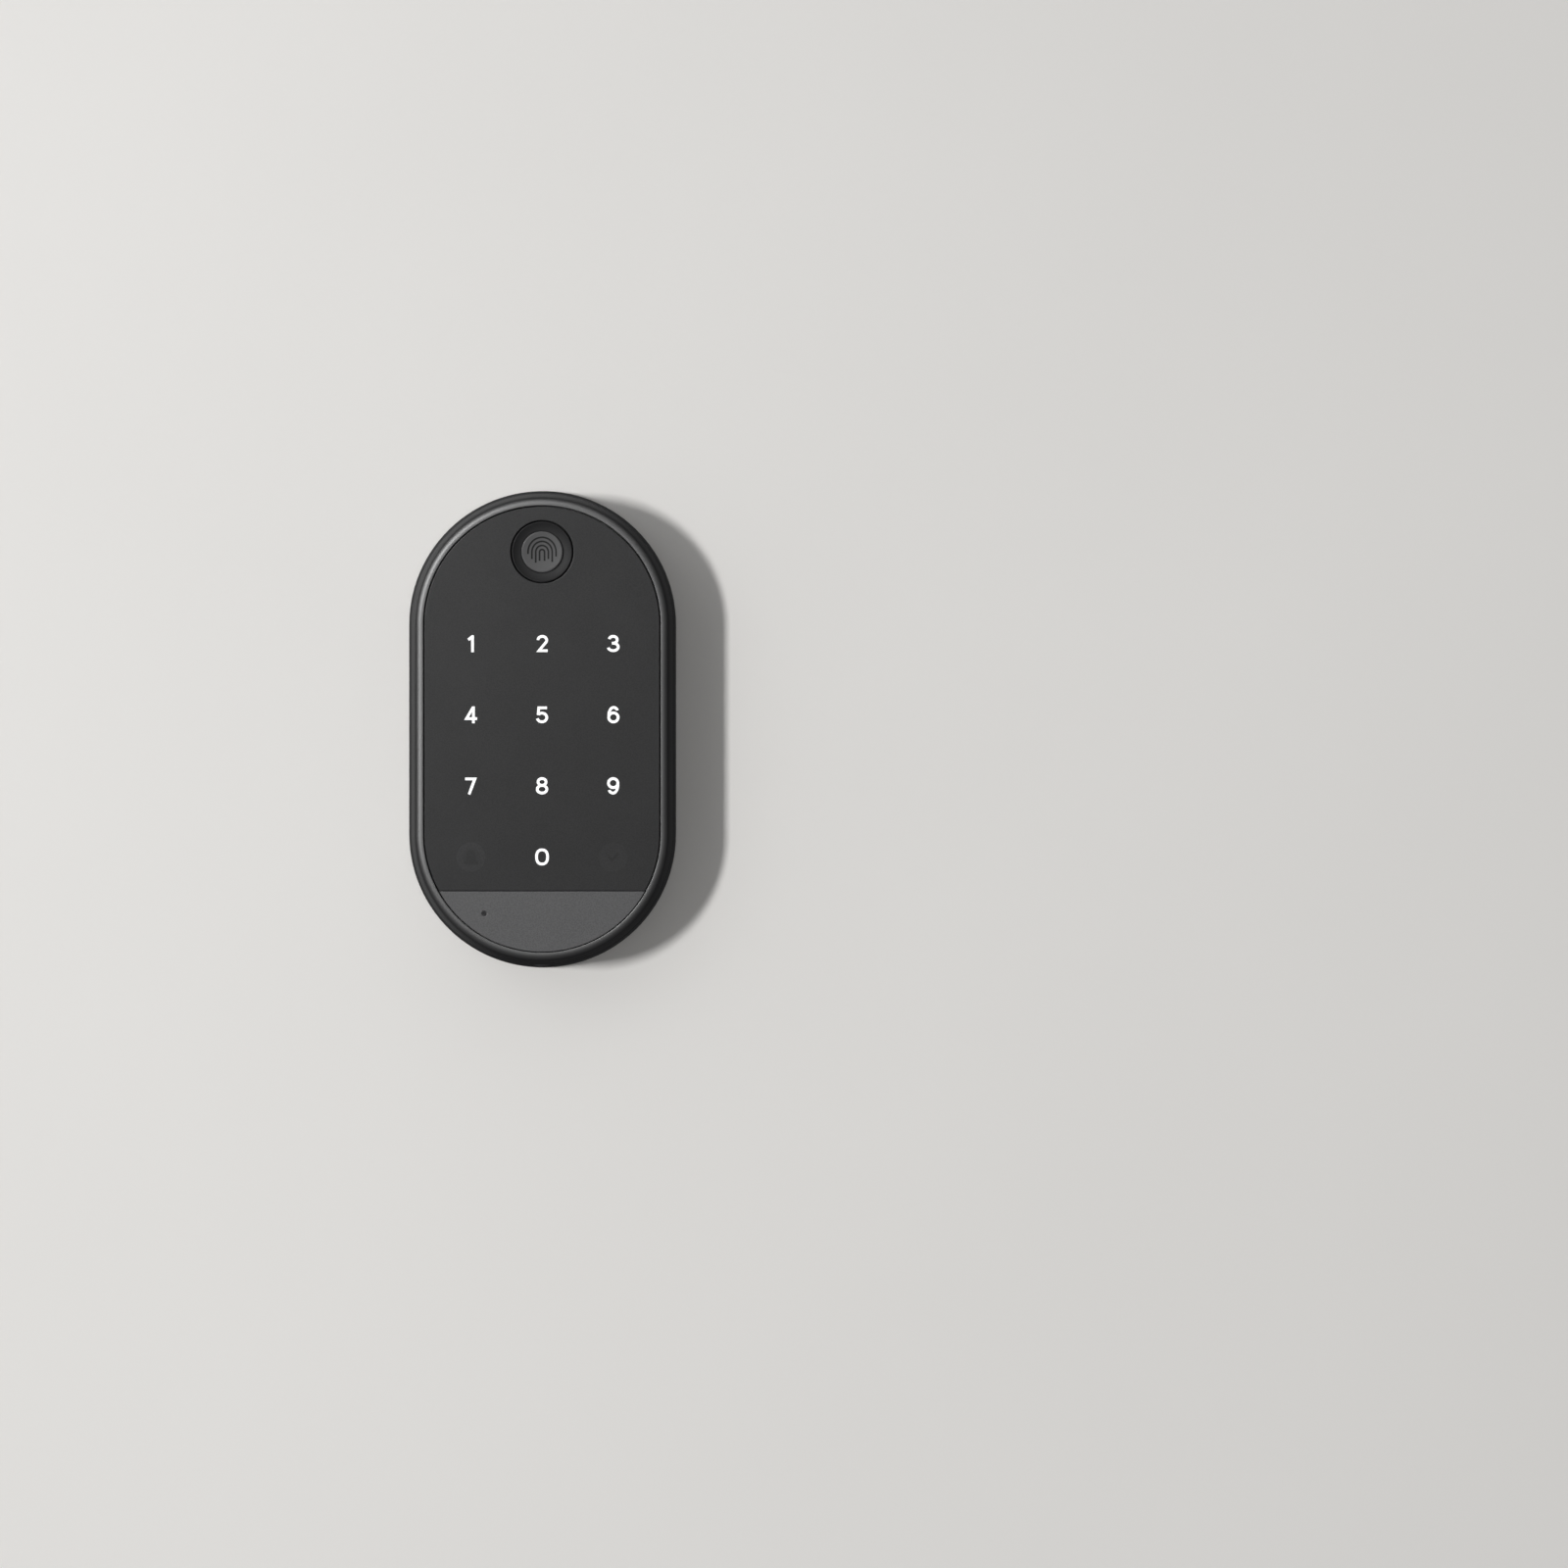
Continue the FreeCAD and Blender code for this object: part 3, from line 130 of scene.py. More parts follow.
class KeypadSizes(bpy.types.PropertyGroup):
    """Sizes of the pieces that are shaped here."""

    draft: angle("Draft", "Slope of the case's sides", 4.7)
    foot: length("Foot gap", "Depth at which the case's skirt starts", 0.4 * MM)
    parting: length("Parting line", "Depth of the front frame's back edge", 9.65 * MM)
    lip_round: length("Lip round", "Radius of the front frame's outer edge", 1.7 * MM)
    lip_inner: length("Lip inner round", "Radius of the lip's inner edge", 0.22 * MM)
    recess_gap: length("Recess gap", "Gap between the panel and the lip", 0.28 * MM)
    ledge: length("Ledge", "Width of the ledge that carries the panel", 3.0 * MM)
    edge_round: length("Edge round", "Radius of small moulded edges", 0.12 * MM)
    face_round: length("Face round", "Radius of the panel's and the band's edges", 0.2 * MM)
    seam_gap: length("Seam gap", "Gap between the panel and the band", 0.1 * MM)
    hole_gap: length("Hole gap", "Gap between the reader's ring and the panel", 0.35 * MM)
    ring_radius: length("Ring radius", "Outer radius of the reader's ring", 8.35 * MM)
    ring_dish: length("Dish depth", "Fall of the ring's dished face", 1.1 * MM)
    dish_curve: length("Dish curve", "Radius of the dish's hollow", 4.6 * MM)
    disc_hollow: length("Disc hollow", "Depth of the hollow for the fingertip", 0.2 * MM)
    pinhole: length("Pinhole radius", "Radius of the hole over the reset button", 0.75 * MM)
    digit_height: length("Digit height", "Height of the digits", 4.7 * MM)
    digit_pen: length("Digit pen", "Width of the digits' strokes", 0.75 * MM)
    print_rise: length("Print rise", "How far print stands on its surface", 0.03 * MM)
    symbol_radius: length("Symbol radius", "Radius of the two round symbols", 4.05 * MM)
    mark_pen: length("Mark pen", "Width of the fingerprint symbol's lines", 0.48 * MM)


class KeypadColours(bpy.types.PropertyGroup):
    """Base colours of the finishes that show."""

    bezel: colour("Front frame", "Satin paint of the front frame", (0.011, 0.011, 0.0115))
    housing: colour("Housing", "Plastic of the rear housing", (0.015, 0.0152, 0.0157))
    panel: colour("Touch panel", "Plastic of the touch panel", (0.0112, 0.0112, 0.0117))
    band: colour("Lower band", "Plastic of the lower band", (0.092, 0.092, 0.094))
    ring: colour("Reader ring", "Plastic of the reader's ring", (0.011, 0.011, 0.0115))
    disc: colour("Reader disc", "Surface of the touch disc", (0.047, 0.047, 0.048))
    plate: colour("Wall plate", "Plastic of the wall plate", (0.028, 0.0285, 0.03))
    digits: colour("Digits", "Lit print of the digits", (0.9, 0.9, 0.9))
    steel: colour("Steel", "Screws, shields and contacts", (0.52, 0.52, 0.53))
    wall: colour("Wall", "Backdrop behind the keypad", (0.85, 0.835, 0.81))
    floor: colour("Floor", "Floor under the keypad", (0.75, 0.74, 0.72))


class KeypadStudio(bpy.types.PropertyGroup):
    """Light and camera."""

    key_power: power("Key light", "Power of the key light", 42.0)
    key_angle: angle("Key angle", "Angle of the key light off the wall's normal", 31.6)
    gloss_power: power("Gloss light", "Power of the softbox that only gives gloss", 10.5)
    fill: FloatProperty(name="Fill", description="Strength of the room's fill light", default=0.18, min=0)
    view_width: length("View width", "Width of what the camera sees at the wall", 434.3 * MM)
    view_side: length("View side", "How far the view's centre lies right of the keypad", 66.85 * MM)
    view_rise: length("View rise", "How far the view's centre lies above the keypad", -15.15 * MM)
    view_distance: length("Camera distance", "Distance from the wall to the camera", 10.0)


def sizes():
    return bpy.context.scene.keypad_sizes


def colours():
    return bpy.context.scene.keypad_colours


# ----------------------------------------------------------------- surface tools


def grid_faces(rows, columns, closed=True):
    """Quads of a grid of points numbered row by row. Each row is a ring; closed joins the last
    row to the first."""
    i = np.arange(rows if closed else rows - 1)[:, None]
    j = np.arange(columns)[None, :]
    below, beside = (i + 1) % rows, (j + 1) % columns
    quads = (i * columns + j, i * columns + beside, below * columns + beside, below * columns + j)
    return np.stack(np.broadcast_arrays(*quads), -1).reshape(-1, 4)


def direction(vectors):
    """Each row divided by its length."""
    return vectors / np.linalg.norm(vectors, axis=1, keepdims=True)


def soften(corners, radii, steps=12):
    """Closed profile with round corners. Each corner becomes an arc that touches both its
    sides: its centre lies radius / sin(half the corner's angle) along the bisector."""
    corners = np.asarray(corners, float)
    radii = np.broadcast_to(radii, len(corners))[:, None]
    before = direction(np.roll(corners, 1, 0) - corners)
    after = direction(np.roll(corners, -1, 0) - corners)
    half = np.arccos(np.sum(before * after, 1, keepdims=True)) / 2
    centre = corners + direction(before + after) * radii / np.sin(half)
    start = corners + before * radii / np.tan(half) - centre
    end = corners + after * radii / np.tan(half) - centre
    sweep = (math.pi - 2 * half)[:, None]
    t = np.linspace(0, 1, steps)[None, :, None]
    arcs = np.sin((1 - t) * sweep) * start[:, None] + np.sin(t * sweep) * end[:, None]
    return (centre[:, None] + arcs / np.sin(sweep)).reshape(-1, 2)


def arc(centre, radii, first, last, steps=24):
    """Points (x, z) of an elliptical arc between two angles in degrees."""
    turn = np.radians(np.linspace(first, last, steps))
    return np.stack([centre[0] + radii[0] * np.cos(turn), centre[1] + radii[1] * np.sin(turn)], 1)


def upright(plane, depth):
    """(x, z) points put at a depth, or at one depth each."""
    depth = np.broadcast_to(depth, plane.shape[:-1])
    return np.stack([plane[..., 0], -depth, plane[..., 1]], -1)


def carry_round(profile, steps=96):
    """A closed (half-width, depth) profile carried round the case's outline: each point lies
    its half-width away from the spine, which is a line between the two arcs' centres."""
    turn = np.linspace(0, math.pi, steps)
    turns = np.concatenate([turn, turn + math.pi])
    spine = np.repeat([ARC, -ARC], steps)
    half, depth = profile.T
    x = half * np.cos(turns)[:, None]
    z = spine[:, None] + half * np.sin(turns)[:, None]
    points = upright(np.stack([x, z], -1), depth)
    return points.reshape(-1, 3), grid_faces(2 * steps, len(profile))


def turn_round(profile, centre, steps=144):
    """A closed (radius, depth) profile turned about an axis along the depth."""
    turns = np.linspace(0, 2 * math.pi, steps, endpoint=False)[:, None]
    radius, depth = profile.T
    x = centre[0] + radius * np.cos(turns)
    z = centre[1] + radius * np.sin(turns)
    points = upright(np.stack([x, z], -1), depth)
    return points.reshape(-1, 3), grid_faces(steps, len(profile))


def round_edge(radius, front, rim, steps=8):
    """Quarter arc (radius, depth) from the wall of a turned piece to its face."""
    bend = np.linspace(0, math.pi / 2, steps)
    return np.stack([radius - rim * (1 - np.cos(bend)), front - rim * (1 - np.sin(bend))], 1)


def plate_round_hole(outline, centre, radius, back, front, rounding, steps=6):
    """A plate between a closed outline and a round hole, ruled from one to the other. Rows
    run up the hole's wall, over the face and down the outer wall, with rounded edges."""
    bend = np.linspace(0, math.pi / 2, steps)
    rise = np.concatenate([[back], front - rounding * (1 - np.sin(bend))])
    inset = np.concatenate([[0.0], rounding * (1 - np.cos(bend))])
    ray = direction(outline(0.0) - centre)
    hole = [upright(centre + ray * (radius + i), d) for i, d in zip(inset, rise)]
    outer = [upright(outline(i), d) for i, d in zip(inset[::-1], rise[::-1])]
    rows = np.stack(hole + outer)
    return rows.reshape(-1, 3), grid_faces(*rows.shape[:2])


def pen_stroke(path, pen, back, front, closed=False):
    """A flat pen stroke: a rectangle carried along an (x, z) path, mitred at its corners.
    front is a depth, or a function that gives the depth of each (x, z) point."""
    path = np.asarray(path, float)
    if closed:
        runs = np.roll(path, -1, 0) - path
        runs_before = np.roll(runs, 1, 0)
    else:
        runs = np.diff(path, axis=0)
        runs_before = np.concatenate([runs[:1], runs])
        runs = np.concatenate([runs, runs[-1:]])
    ahead, behind = direction(runs), direction(runs_before)
    side = direction((ahead + behind)[:, ::-1] * (-1, 1))
    mitre = np.sum(side * ahead[:, ::-1] * (-1, 1), 1, keepdims=True)
    sharpest = 0.45
    reach = side * pen / 2 / np.maximum(mitre, sharpest)
    left, right = path + reach, path - reach
    tops = [front(edge) if callable(front) else front for edge in (left, right)]
    rows = [(left, back), (left, tops[0]), (right, tops[1]), (right, back)]
    points = np.stack([upright(*row) for row in rows], 1)
    faces = grid_faces(len(path), 4, closed)
    if not closed:
        last = 4 * (len(path) - 1)
        faces = np.concatenate([faces, [[3, 2, 1, 0], [last, last + 1, last + 2, last + 3]]])
    return points.reshape(-1, 3), faces


def slab(outline, back, front, centre):
    """A flat plate inside a closed outline that its centre sees whole: walls, and both faces
    as rings of triangles about the centre, written as quads with a doubled corner."""
    middle = np.broadcast_to(np.asarray(centre, float), outline.shape)
    rows = [(middle, back), (outline, back), (outline, front), (middle, front)]
    points = np.stack([upright(*row) for row in rows])
    return points.reshape(-1, 3), grid_faces(*points.shape[:2], closed=False)


def block(low, high):
    """A box between two corners."""
    corners = np.array([(x, y, z) for x in (0, 1) for y in (0, 1) for z in (0, 1)], float)
    points = np.array(low) + corners * (np.array(high) - np.array(low))
    quads = [(0, 1, 3, 2), (4, 6, 7, 5), (0, 4, 5, 1), (2, 3, 7, 6), (0, 2, 6, 4), (1, 5, 7, 3)]
    return points, np.array(quads)


def outward(points, faces):
    """The faces turned so that they enclose a positive volume."""
    a, b, c, d = (points[faces[:, k]] for k in range(4))
    volume = np.sum(np.cross(a, b) * c + np.cross(a, c) * d)
    return faces if volume > 0 else faces[:, ::-1]


def solid_object(name, solids, merge=0.5e-6):
    """A mesh object of closed (points, faces) solids; points that coincide are joined, so
    that poles and seams are closed."""
    counts = np.cumsum([0] + [len(points) for points, _ in solids])
    points = np.concatenate([points for points, _ in solids])
    faces = np.concatenate([outward(*solid) + start for solid, start in zip(solids, counts)])
    mesh = bpy.data.meshes.new(name)
    mesh.from_pydata(points.tolist(), [], faces.tolist())
    work = bmesh.new()
    work.from_mesh(mesh)
    bmesh.ops.remove_doubles(work, verts=work.verts, dist=merge)
    bmesh.ops.dissolve_degenerate(work, edges=work.edges, dist=merge)
    work.to_mesh(mesh)
    work.free()
    obj = bpy.data.objects.new(name, mesh)
    bpy.context.scene.collection.objects.link(obj)
    return obj


def subtract(obj, solids):
    """Cuts solids out of an object for good."""
    cutter = solid_object("cutter", solids)
    cut = obj.modifiers.new("Cut", "BOOLEAN")
    cut.operation = "DIFFERENCE"
    cut.solver = "EXACT"
    cut.object = cutter
    graph = bpy.context.evaluated_depsgraph_get()
    obj.data = bpy.data.meshes.new_from_object(obj.evaluated_get(graph))
    obj.modifiers.clear()
    bpy.data.objects.remove(cutter)


def piece(name, solids, slot, material=None, replaces=(), holes=()):
    """Makes one piece of the keypad from closed solids, less its holes. Its material is the
    slot's own where none is given."""
    obj = solid_object(name, solids)
    if holes:
        subtract(obj, holes)
    obj.data.shade_smooth()
    obj.data.set_sharp_from_angle(angle=math.radians(35))
    obj.data.materials.append(material or finish_of(slot))
    normals = obj.modifiers.new("Even normals", "WEIGHTED_NORMAL")
    normals.keep_sharp = True
    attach(obj, UNIT)
    if replaces:
        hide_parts(*replaces)


# ------------------------------------------------------------------ shader tools


class Signal:
    """A shader socket that takes part in Python sums; each operator adds one Math node."""

    def __init__(self, nodes, socket):
        self.nodes = nodes
        self.socket = socket

    def maths(self, operation, *others):
        return self.nodes.maths(operation, self, *others)

    def __add__(self, other):
        return self.maths("ADD", other)

    __radd__ = __add__

    def __sub__(self, other):
        return self.maths("SUBTRACT", other)

    def __rsub__(self, other):
        return self.nodes.maths("SUBTRACT", other, self)

    def __mul__(self, other):
        return self.maths("MULTIPLY", other)

    __rmul__ = __mul__

    def __truediv__(self, other):
        return self.maths("DIVIDE", other)

    def __pow__(self, other):
        return self.maths("POWER", other)

    def size(self):
        return self.maths("ABSOLUTE")

    def wave(self):
        return self.maths("SINE")

    def ramp(self, low, high):
        """0 below low, 1 above high, smooth between them."""
        settings = {"interpolation_type": "SMOOTHSTEP"}
        return self.nodes.add("ShaderNodeMapRange", settings, {"Value": self, 1: low, 2: high})


class Nodes:
    """A node tree, emptied, to which nodes are added."""

    def __init__(self, tree):
        self.tree = tree
        tree.nodes.clear()

    def node(self, kind, settings=None, sockets=None):
        """Adds a node: its settings first, then values or links for its sockets."""
        node = self.tree.nodes.new(kind)
        for name, value in (settings or {}).items():
            setattr(node, name, value)
        for name, value in (sockets or {}).items():
            self.put(node.inputs[name], value)
        return node

    def add(self, kind, settings=None, sockets=None, output=0):
        """Adds a node and gives one of its outputs."""
        return Signal(self, self.node(kind, settings, sockets).outputs[output])

    def put(self, socket, value):
        if isinstance(value, Signal):
            self.tree.links.new(value.socket, socket)
        elif socket.type == "RGBA" and len(value) == 3:
            socket.default_value = (*value, 1.0)
        else:
            socket.default_value = value

    def maths(self, operation, *values):
        return self.add("ShaderNodeMath", {"operation": operation}, dict(enumerate(values)))


class Finish(Nodes):
    """One procedural material around a Principled shader."""

    def __init__(self, name):
        self.material = bpy.data.materials.new(name)
        self.material.use_nodes = True
        super().__init__(self.material.node_tree)
        self.shader = self.node("ShaderNodeBsdfPrincipled")
        self.surface = Signal(self, self.shader.outputs[0])
        self.output = self.node("ShaderNodeOutputMaterial", None, {"Surface": self.surface})

    def set(self, **values):
        """Values or links of the Principled shader, by socket name with _ for spaces."""
        for name, value in values.items():
            self.put(self.shader.inputs[name.replace("_", " ").title().replace("Ior", "IOR")], value)
        return self

    def place(self, centre=(0, 0, 0), stretch=(1, 1, 1)):
        """Object coordinates, moved so that centre is their origin, and stretched."""
        where = self.add("ShaderNodeTexCoord", output="Object")
        moved = self.add("ShaderNodeVectorMath", {"operation": "SUBTRACT"}, {0: where, 1: centre})
        return self.add("ShaderNodeVectorMath", {"operation": "MULTIPLY"}, {0: moved, 1: stretch})

    def axes(self, centre=(0, 0, 0)):
        """The three object coordinates as numbers."""
        where = self.place(centre)
        return [self.add("ShaderNodeSeparateXYZ", None, {0: where}, axis) for axis in "XYZ"]

    def noise(self, size, detail=2.0, roughness=0.5, where=None):
        """Noise between 0 and 1 whose blotches are about size across."""
        sockets = {"Vector": where or self.place(), "Scale": 1 / size}
        return self.add("ShaderNodeTexNoise", None, sockets | {"Detail": detail, "Roughness": roughness})

    def cells(self, size, feature="F1", where=None):
        """Distance to the nearest cell's centre, in cells about size across."""
        sockets = {"Vector": where or self.place(), "Scale": 1 / size}
        return self.add("ShaderNodeTexVoronoi", {"feature": feature}, sockets)

    def mix(self, factor, first, second):
        """A colour between two colours."""
        settings = {"data_type": "RGBA"}
        return self.add("ShaderNodeMix", settings, {0: factor, 6: first, 7: second}, 2)

    def tint(self, base, amount, signal):
        """The base colour, darker and lighter by a share as the signal goes from 0 to 1."""
        dark = tuple(c * (1 - amount) for c in base)
        light = tuple(min(1.0, c * (1 + amount)) for c in base)
        return self.mix(signal, dark, light)

    def relief(self, height, depth):
        """Bump of a real depth in metres, from a height signal between 0 and 1."""
        bump = self.add("ShaderNodeBump", None, {"Strength": 1.0, "Distance": depth, "Height": height})
        return self.set(normal=bump)


# Grain of the touch panel, the lower band and the print on them.
FACE_GRAIN = {"rough": 0.5, "grain": 0.26 * MM, "depth": 0.014 * MM, "shine": 0.28}


def moulded(name, base, rough, grain=0.3 * MM, depth=0.012 * MM, tone=0.1, cloud=0.05, shine=0.5):
    """Matte moulded plastic: a fine etched grain, with slow clouds of tone and gloss. Tone
    and cloud are the shares by which the grain and the clouds change the base colour."""
    finish = Finish(name)
    fine = finish.noise(grain, 3.0, 0.6)
    pits = finish.cells(grain * 1.6).ramp(0.15, 0.75)
    slow = finish.noise(14 * MM, 3.0)
    grainy = fine * 0.65 + pits * 0.35
    shade = grainy * tone / (tone + cloud) + slow * cloud / (tone + cloud)
    finish.set(
        base_color=finish.tint(base, tone + cloud, shade.ramp(0.25, 0.75)),
        roughness=slow * 0.08 + grainy * 0.06 + (rough - 0.07),
        specular_ior_level=shine,
    )
    return finish.relief(grainy, depth)


def painted(name, base, rough):
    """Satin paint on a smooth moulding: orange peel under a very fine sparkle. The lip is
    worn a little smoother than the sides."""
    finish = Finish(name)
    _, y, _ = finish.axes()
    smooth_to, rough_from = 3 * MM, 7 * MM
    sides = y.ramp(smooth_to - FRONT, rough_from - FRONT)
    peel = finish.noise(1.6 * MM, 2.0)
    fine = finish.noise(0.22 * MM, 3.0, 0.6)
    slow = finish.noise(18 * MM, 3.0)
    finish.set(
        base_color=finish.tint(base, 0.25, fine * 0.7 + slow * 0.3),
        roughness=slow * 0.06 + fine * 0.1 + sides * 0.25 + (rough - 0.08),
        specular_ior_level=1.0,
    )
    return finish.relief(peel * 0.4 + fine * 0.6, 0.012 * MM)


def turned_face(name, base, rough, centre, pitch, shine):
    """A round face with very fine rings about its centre, as left by a turned mould."""
    finish = Finish(name)
    x, _, z = finish.axes(centre)
    radius = (x * x + z * z) ** 0.5
    rings = (radius * (2 * math.pi / pitch)).wave() * 0.5 + 0.5
    fine = finish.noise(0.2 * MM, 3.0, 0.6)
    slow = finish.noise(5 * MM, 2.0)
    texture = rings * 0.35 + fine * 0.65
    finish.set(
        base_color=finish.tint(base, 0.13, texture * 0.7 + slow * 0.3),
        roughness=slow * 0.08 + texture * 0.08 + (rough - 0.08),
        specular_ior_level=shine,
    )
    return finish.relief(texture, 0.008 * MM)


def rubber(name, base, rough=0.75):
    """Soft black rubber or foam: open pores and dull blotches."""
    finish = Finish(name)
    pores = finish.cells(0.35 * MM).ramp(0.1, 0.6)
    slow = finish.noise(4 * MM, 3.0)
    finish.set(
        base_color=finish.tint(base, 0.3, pores * 0.6 + slow * 0.4),
        roughness=slow * 0.15 + (rough - 0.05),
    )
    return finish.relief(pores, 0.03 * MM)


def steel(name, base, rough, along=(1, 1, 1)):
    """Bare or plated steel: lines drawn along one axis, faint handling marks and stains."""
    finish = Finish(name)
    drawn = finish.noise(0.25 * MM, 3.0, 0.6, finish.place(stretch=along))
    stains = finish.noise(3 * MM, 4.0, 0.6)
    marks = finish.noise(0.9 * MM, 2.0, 0.5, finish.place(stretch=(0.3, 1, 1)))
    finish.set(
        base_color=finish.tint(base, 0.18, drawn * 0.5 + stains * 0.5),
        roughness=drawn * 0.14 + stains.ramp(0.5, 0.8) * 0.15 + (rough - 0.08),
        metallic=1.0,
    )
    return finish.relief(drawn * 0.7 + marks * 0.3, 0.008 * MM)


def woven_steel(name, base):
    """Fine woven wire: two sets of crossing wires; the gaps between them are painted near black, painted
    shade for the dark seen through the holes.
    """
    finish = Finish(name)
    x, y, _ = finish.axes()
    wire = 2 * math.pi / (0.5 * MM)
    over = (x * wire).wave().size()
    under = (y * wire).wave().size()
    weave = over.maths("MAXIMUM", under).ramp(0.35, 0.9)
    finish.set(
        # The near-black colour in the gaps is painted shade, not a colour of the wire.
        base_color=finish.mix(weave, (0.004, 0.004, 0.004), base),
        roughness=0.55 - weave * 0.15,
        metallic=weave,
    )
    return finish.relief(weave, 0.06 * MM)


def circuit_board(name):
    """Green solder mask over copper tracks, with tinned pads."""
    finish = Finish(name)
    x, _, _ = finish.axes()
    flat = finish.place(stretch=(1, 0, 1))
    blocks = finish.cells(3.2 * MM, "DISTANCE_TO_EDGE", flat)
    lanes = (x * (2 * math.pi / (1.1 * MM)) + finish.noise(7 * MM, 0.0).ramp(0.4, 0.6) * 9).wave()
    tracks = lanes.ramp(0.55, 0.75) * blocks.ramp(0.04, 0.08)
    spots = finish.cells(2.6 * MM, "F1", flat)
    pads = 1 - spots.ramp(0.12, 0.16)
    mask = finish.mix(tracks, (0.006, 0.05, 0.02), (0.012, 0.105, 0.04))
    faces = finish.mix(pads, mask, (0.62, 0.6, 0.52))
    finish.set(
        base_color=faces,
        roughness=0.38 - pads * 0.1 + finish.noise(0.5 * MM) * 0.08,
        metallic=pads,
    )
    return finish.relief(tracks * 0.6 + pads * 0.4, 0.03 * MM)


def battery_sleeve(name):
    """A plain printed sleeve in two tones, with bare steel at both ends of the cell."""
    finish = Finish(name)
    _, _, z = finish.axes()
    far = z.size()
    ends = far.ramp(21.0 * MM, 21.15 * MM)
    band = far.ramp(12.6 * MM, 12.7 * MM)
    scuffs = finish.noise(1.4 * MM, 4.0, 0.65, finish.place(stretch=(1, 1, 0.2)))
    sleeve = finish.mix(band, (0.018, 0.024, 0.035), (0.34, 0.27, 0.16))
    worn = finish.mix(scuffs.ramp(0.62, 0.8), sleeve, (0.2, 0.2, 0.2))
    finish.set(
        base_color=finish.mix(ends, worn, (0.58, 0.57, 0.54)),
        roughness=scuffs * 0.2 + 0.22,
        metallic=ends,
    )
    return finish.relief(scuffs, 0.01 * MM)


def flex_film(name):
    """Amber film over rows of copper tracks."""
    finish = Finish(name)
    x, _, _ = finish.axes()
    lanes = (x * (2 * math.pi / (1.3 * MM))).wave().ramp(-0.1, 0.3)
    slow = finish.noise(6 * MM, 2.0)
    finish.set(
        base_color=finish.mix(lanes, (0.3, 0.13, 0.025), (0.46, 0.22, 0.06)),
        roughness=slow * 0.12 + 0.26,
        coat_weight=0.4,
    )
    return finish.relief(lanes * 0.8 + slow * 0.2, 0.015 * MM)


def lit_print(name, base, glow):
    """Print lit from behind: even, with the faint grain of the panel's surface."""
    finish = Finish(name)
    fine = finish.noise(0.3 * MM, 3.0)
    shade = finish.tint(base, 0.05, fine)
    finish.set(base_color=shade, roughness=0.55, emission_color=shade, emission_strength=glow)
    return finish.relief(fine, 0.008 * MM)


def clear_plastic(name):
    """Clear moulded acrylic with faint flow lines."""
    finish = Finish(name)
    flow = finish.noise(4 * MM, 3.0, 0.5, finish.place(stretch=(1, 1, 0.3)))
    finish.set(
        base_color=finish.tint((0.86, 0.87, 0.88), 0.04, flow),
        roughness=flow * 0.12 + 0.1,
        transmission_weight=0.75,
        ior=1.49,
    )
    return finish.relief(flow, 0.02 * MM)


def one_sided_paint(name, base, glow=0.0):
    """Rolled matte paint, clear when it is seen from behind. The glow stands for light that
    falls on it and not on the keypad."""
    finish = Finish(name)
    roller = finish.noise(1.8 * MM, 4.0, 0.6)
    slow = finish.noise(120 * MM, 3.0)
    finish.set(
        base_color=finish.tint(base, 0.02, slow),
        roughness=0.8,
        emission_color=tuple(base),
        emission_strength=glow,
    )
    finish.relief(roller, 0.02 * MM)
    behind = finish.add("ShaderNodeNewGeometry", output="Backfacing")
    clear = finish.add("ShaderNodeBsdfTransparent")
    surface = finish.add("ShaderNodeMixShader", None, {0: behind, 1: finish.surface, 2: clear})
    finish.put(finish.output.inputs["Surface"], surface)
    return finish


def make_finishes():
    """Every finish by the name of its slot in the record, made once."""
    c = colours()
    reader = (0, 0, READER)
    black = (0.012, 0.012, 0.012)
    white = (0.72, 0.72, 0.7)
    made = {
        "bezel_finish": painted("bezel_paint", c.bezel, 0.55),
        "housing_plastic": moulded("housing_plastic", c.housing, 0.75, 0.4 * MM, 0.014 * MM),
        "panel_plastic": moulded("panel_plastic", c.panel, tone=0.2, cloud=0.04, **FACE_GRAIN),
        "band_plastic": moulded("band_plastic", c.band, tone=0.12, cloud=0.03, **FACE_GRAIN),
        "ring_finish": turned_face("ring_plastic", c.ring, 0.7, reader, 0.3 * MM, 0.2),
        "disc_finish": turned_face("disc_surface", c.disc, 0.58, reader, 0.25 * MM, 0.4),
        "plate_plastic": moulded("plate_plastic", c.plate, 0.5, 0.35 * MM, 0.015 * MM, 0.12, 0.12),
        "seal_rubber": rubber("seal_rubber", black),
        "screw_steel": steel("screw_steel", c.steel, 0.32),
        "circuit_board": circuit_board("circuit_board"),
        "chip_plastic": moulded("chip_plastic", (0.013, 0.013, 0.014), 0.55, 0.2 * MM),
        "shield_steel": steel("shield_steel", c.steel, 0.35, (1, 1, 0.15)),
        "contact_steel": steel("contact_steel", (0.6, 0.58, 0.53), 0.28, (0.2, 1, 1)),
        "battery_sleeve": battery_sleeve("battery_sleeve"),
        "white_plastic": moulded("white_plastic", white, 0.45, 0.4 * MM, 0.01 * MM, 0.03, 0.03),
        "clear_plastic": clear_plastic("clear_plastic"),
        "film_plastic": flex_film("film_plastic"),
        "led_plastic": lit_print("led_plastic", (0.85, 0.82, 0.7), 1.5),
        "bond_foam": rubber("bond_foam", (0.02, 0.02, 0.02), 0.85),
        "button_plastic": moulded("button_plastic", (0.3, 0.3, 0.31), 0.5, 0.25 * MM),
    }
    return {slot: finish.material for slot, finish in made.items()}


def finish_of(slot):
    """The material made for a slot of the record."""
    return bpy.data.materials[bpy.context.scene["keypad_finishes"][slot]]


# --------------------------------------------------------------------- operators


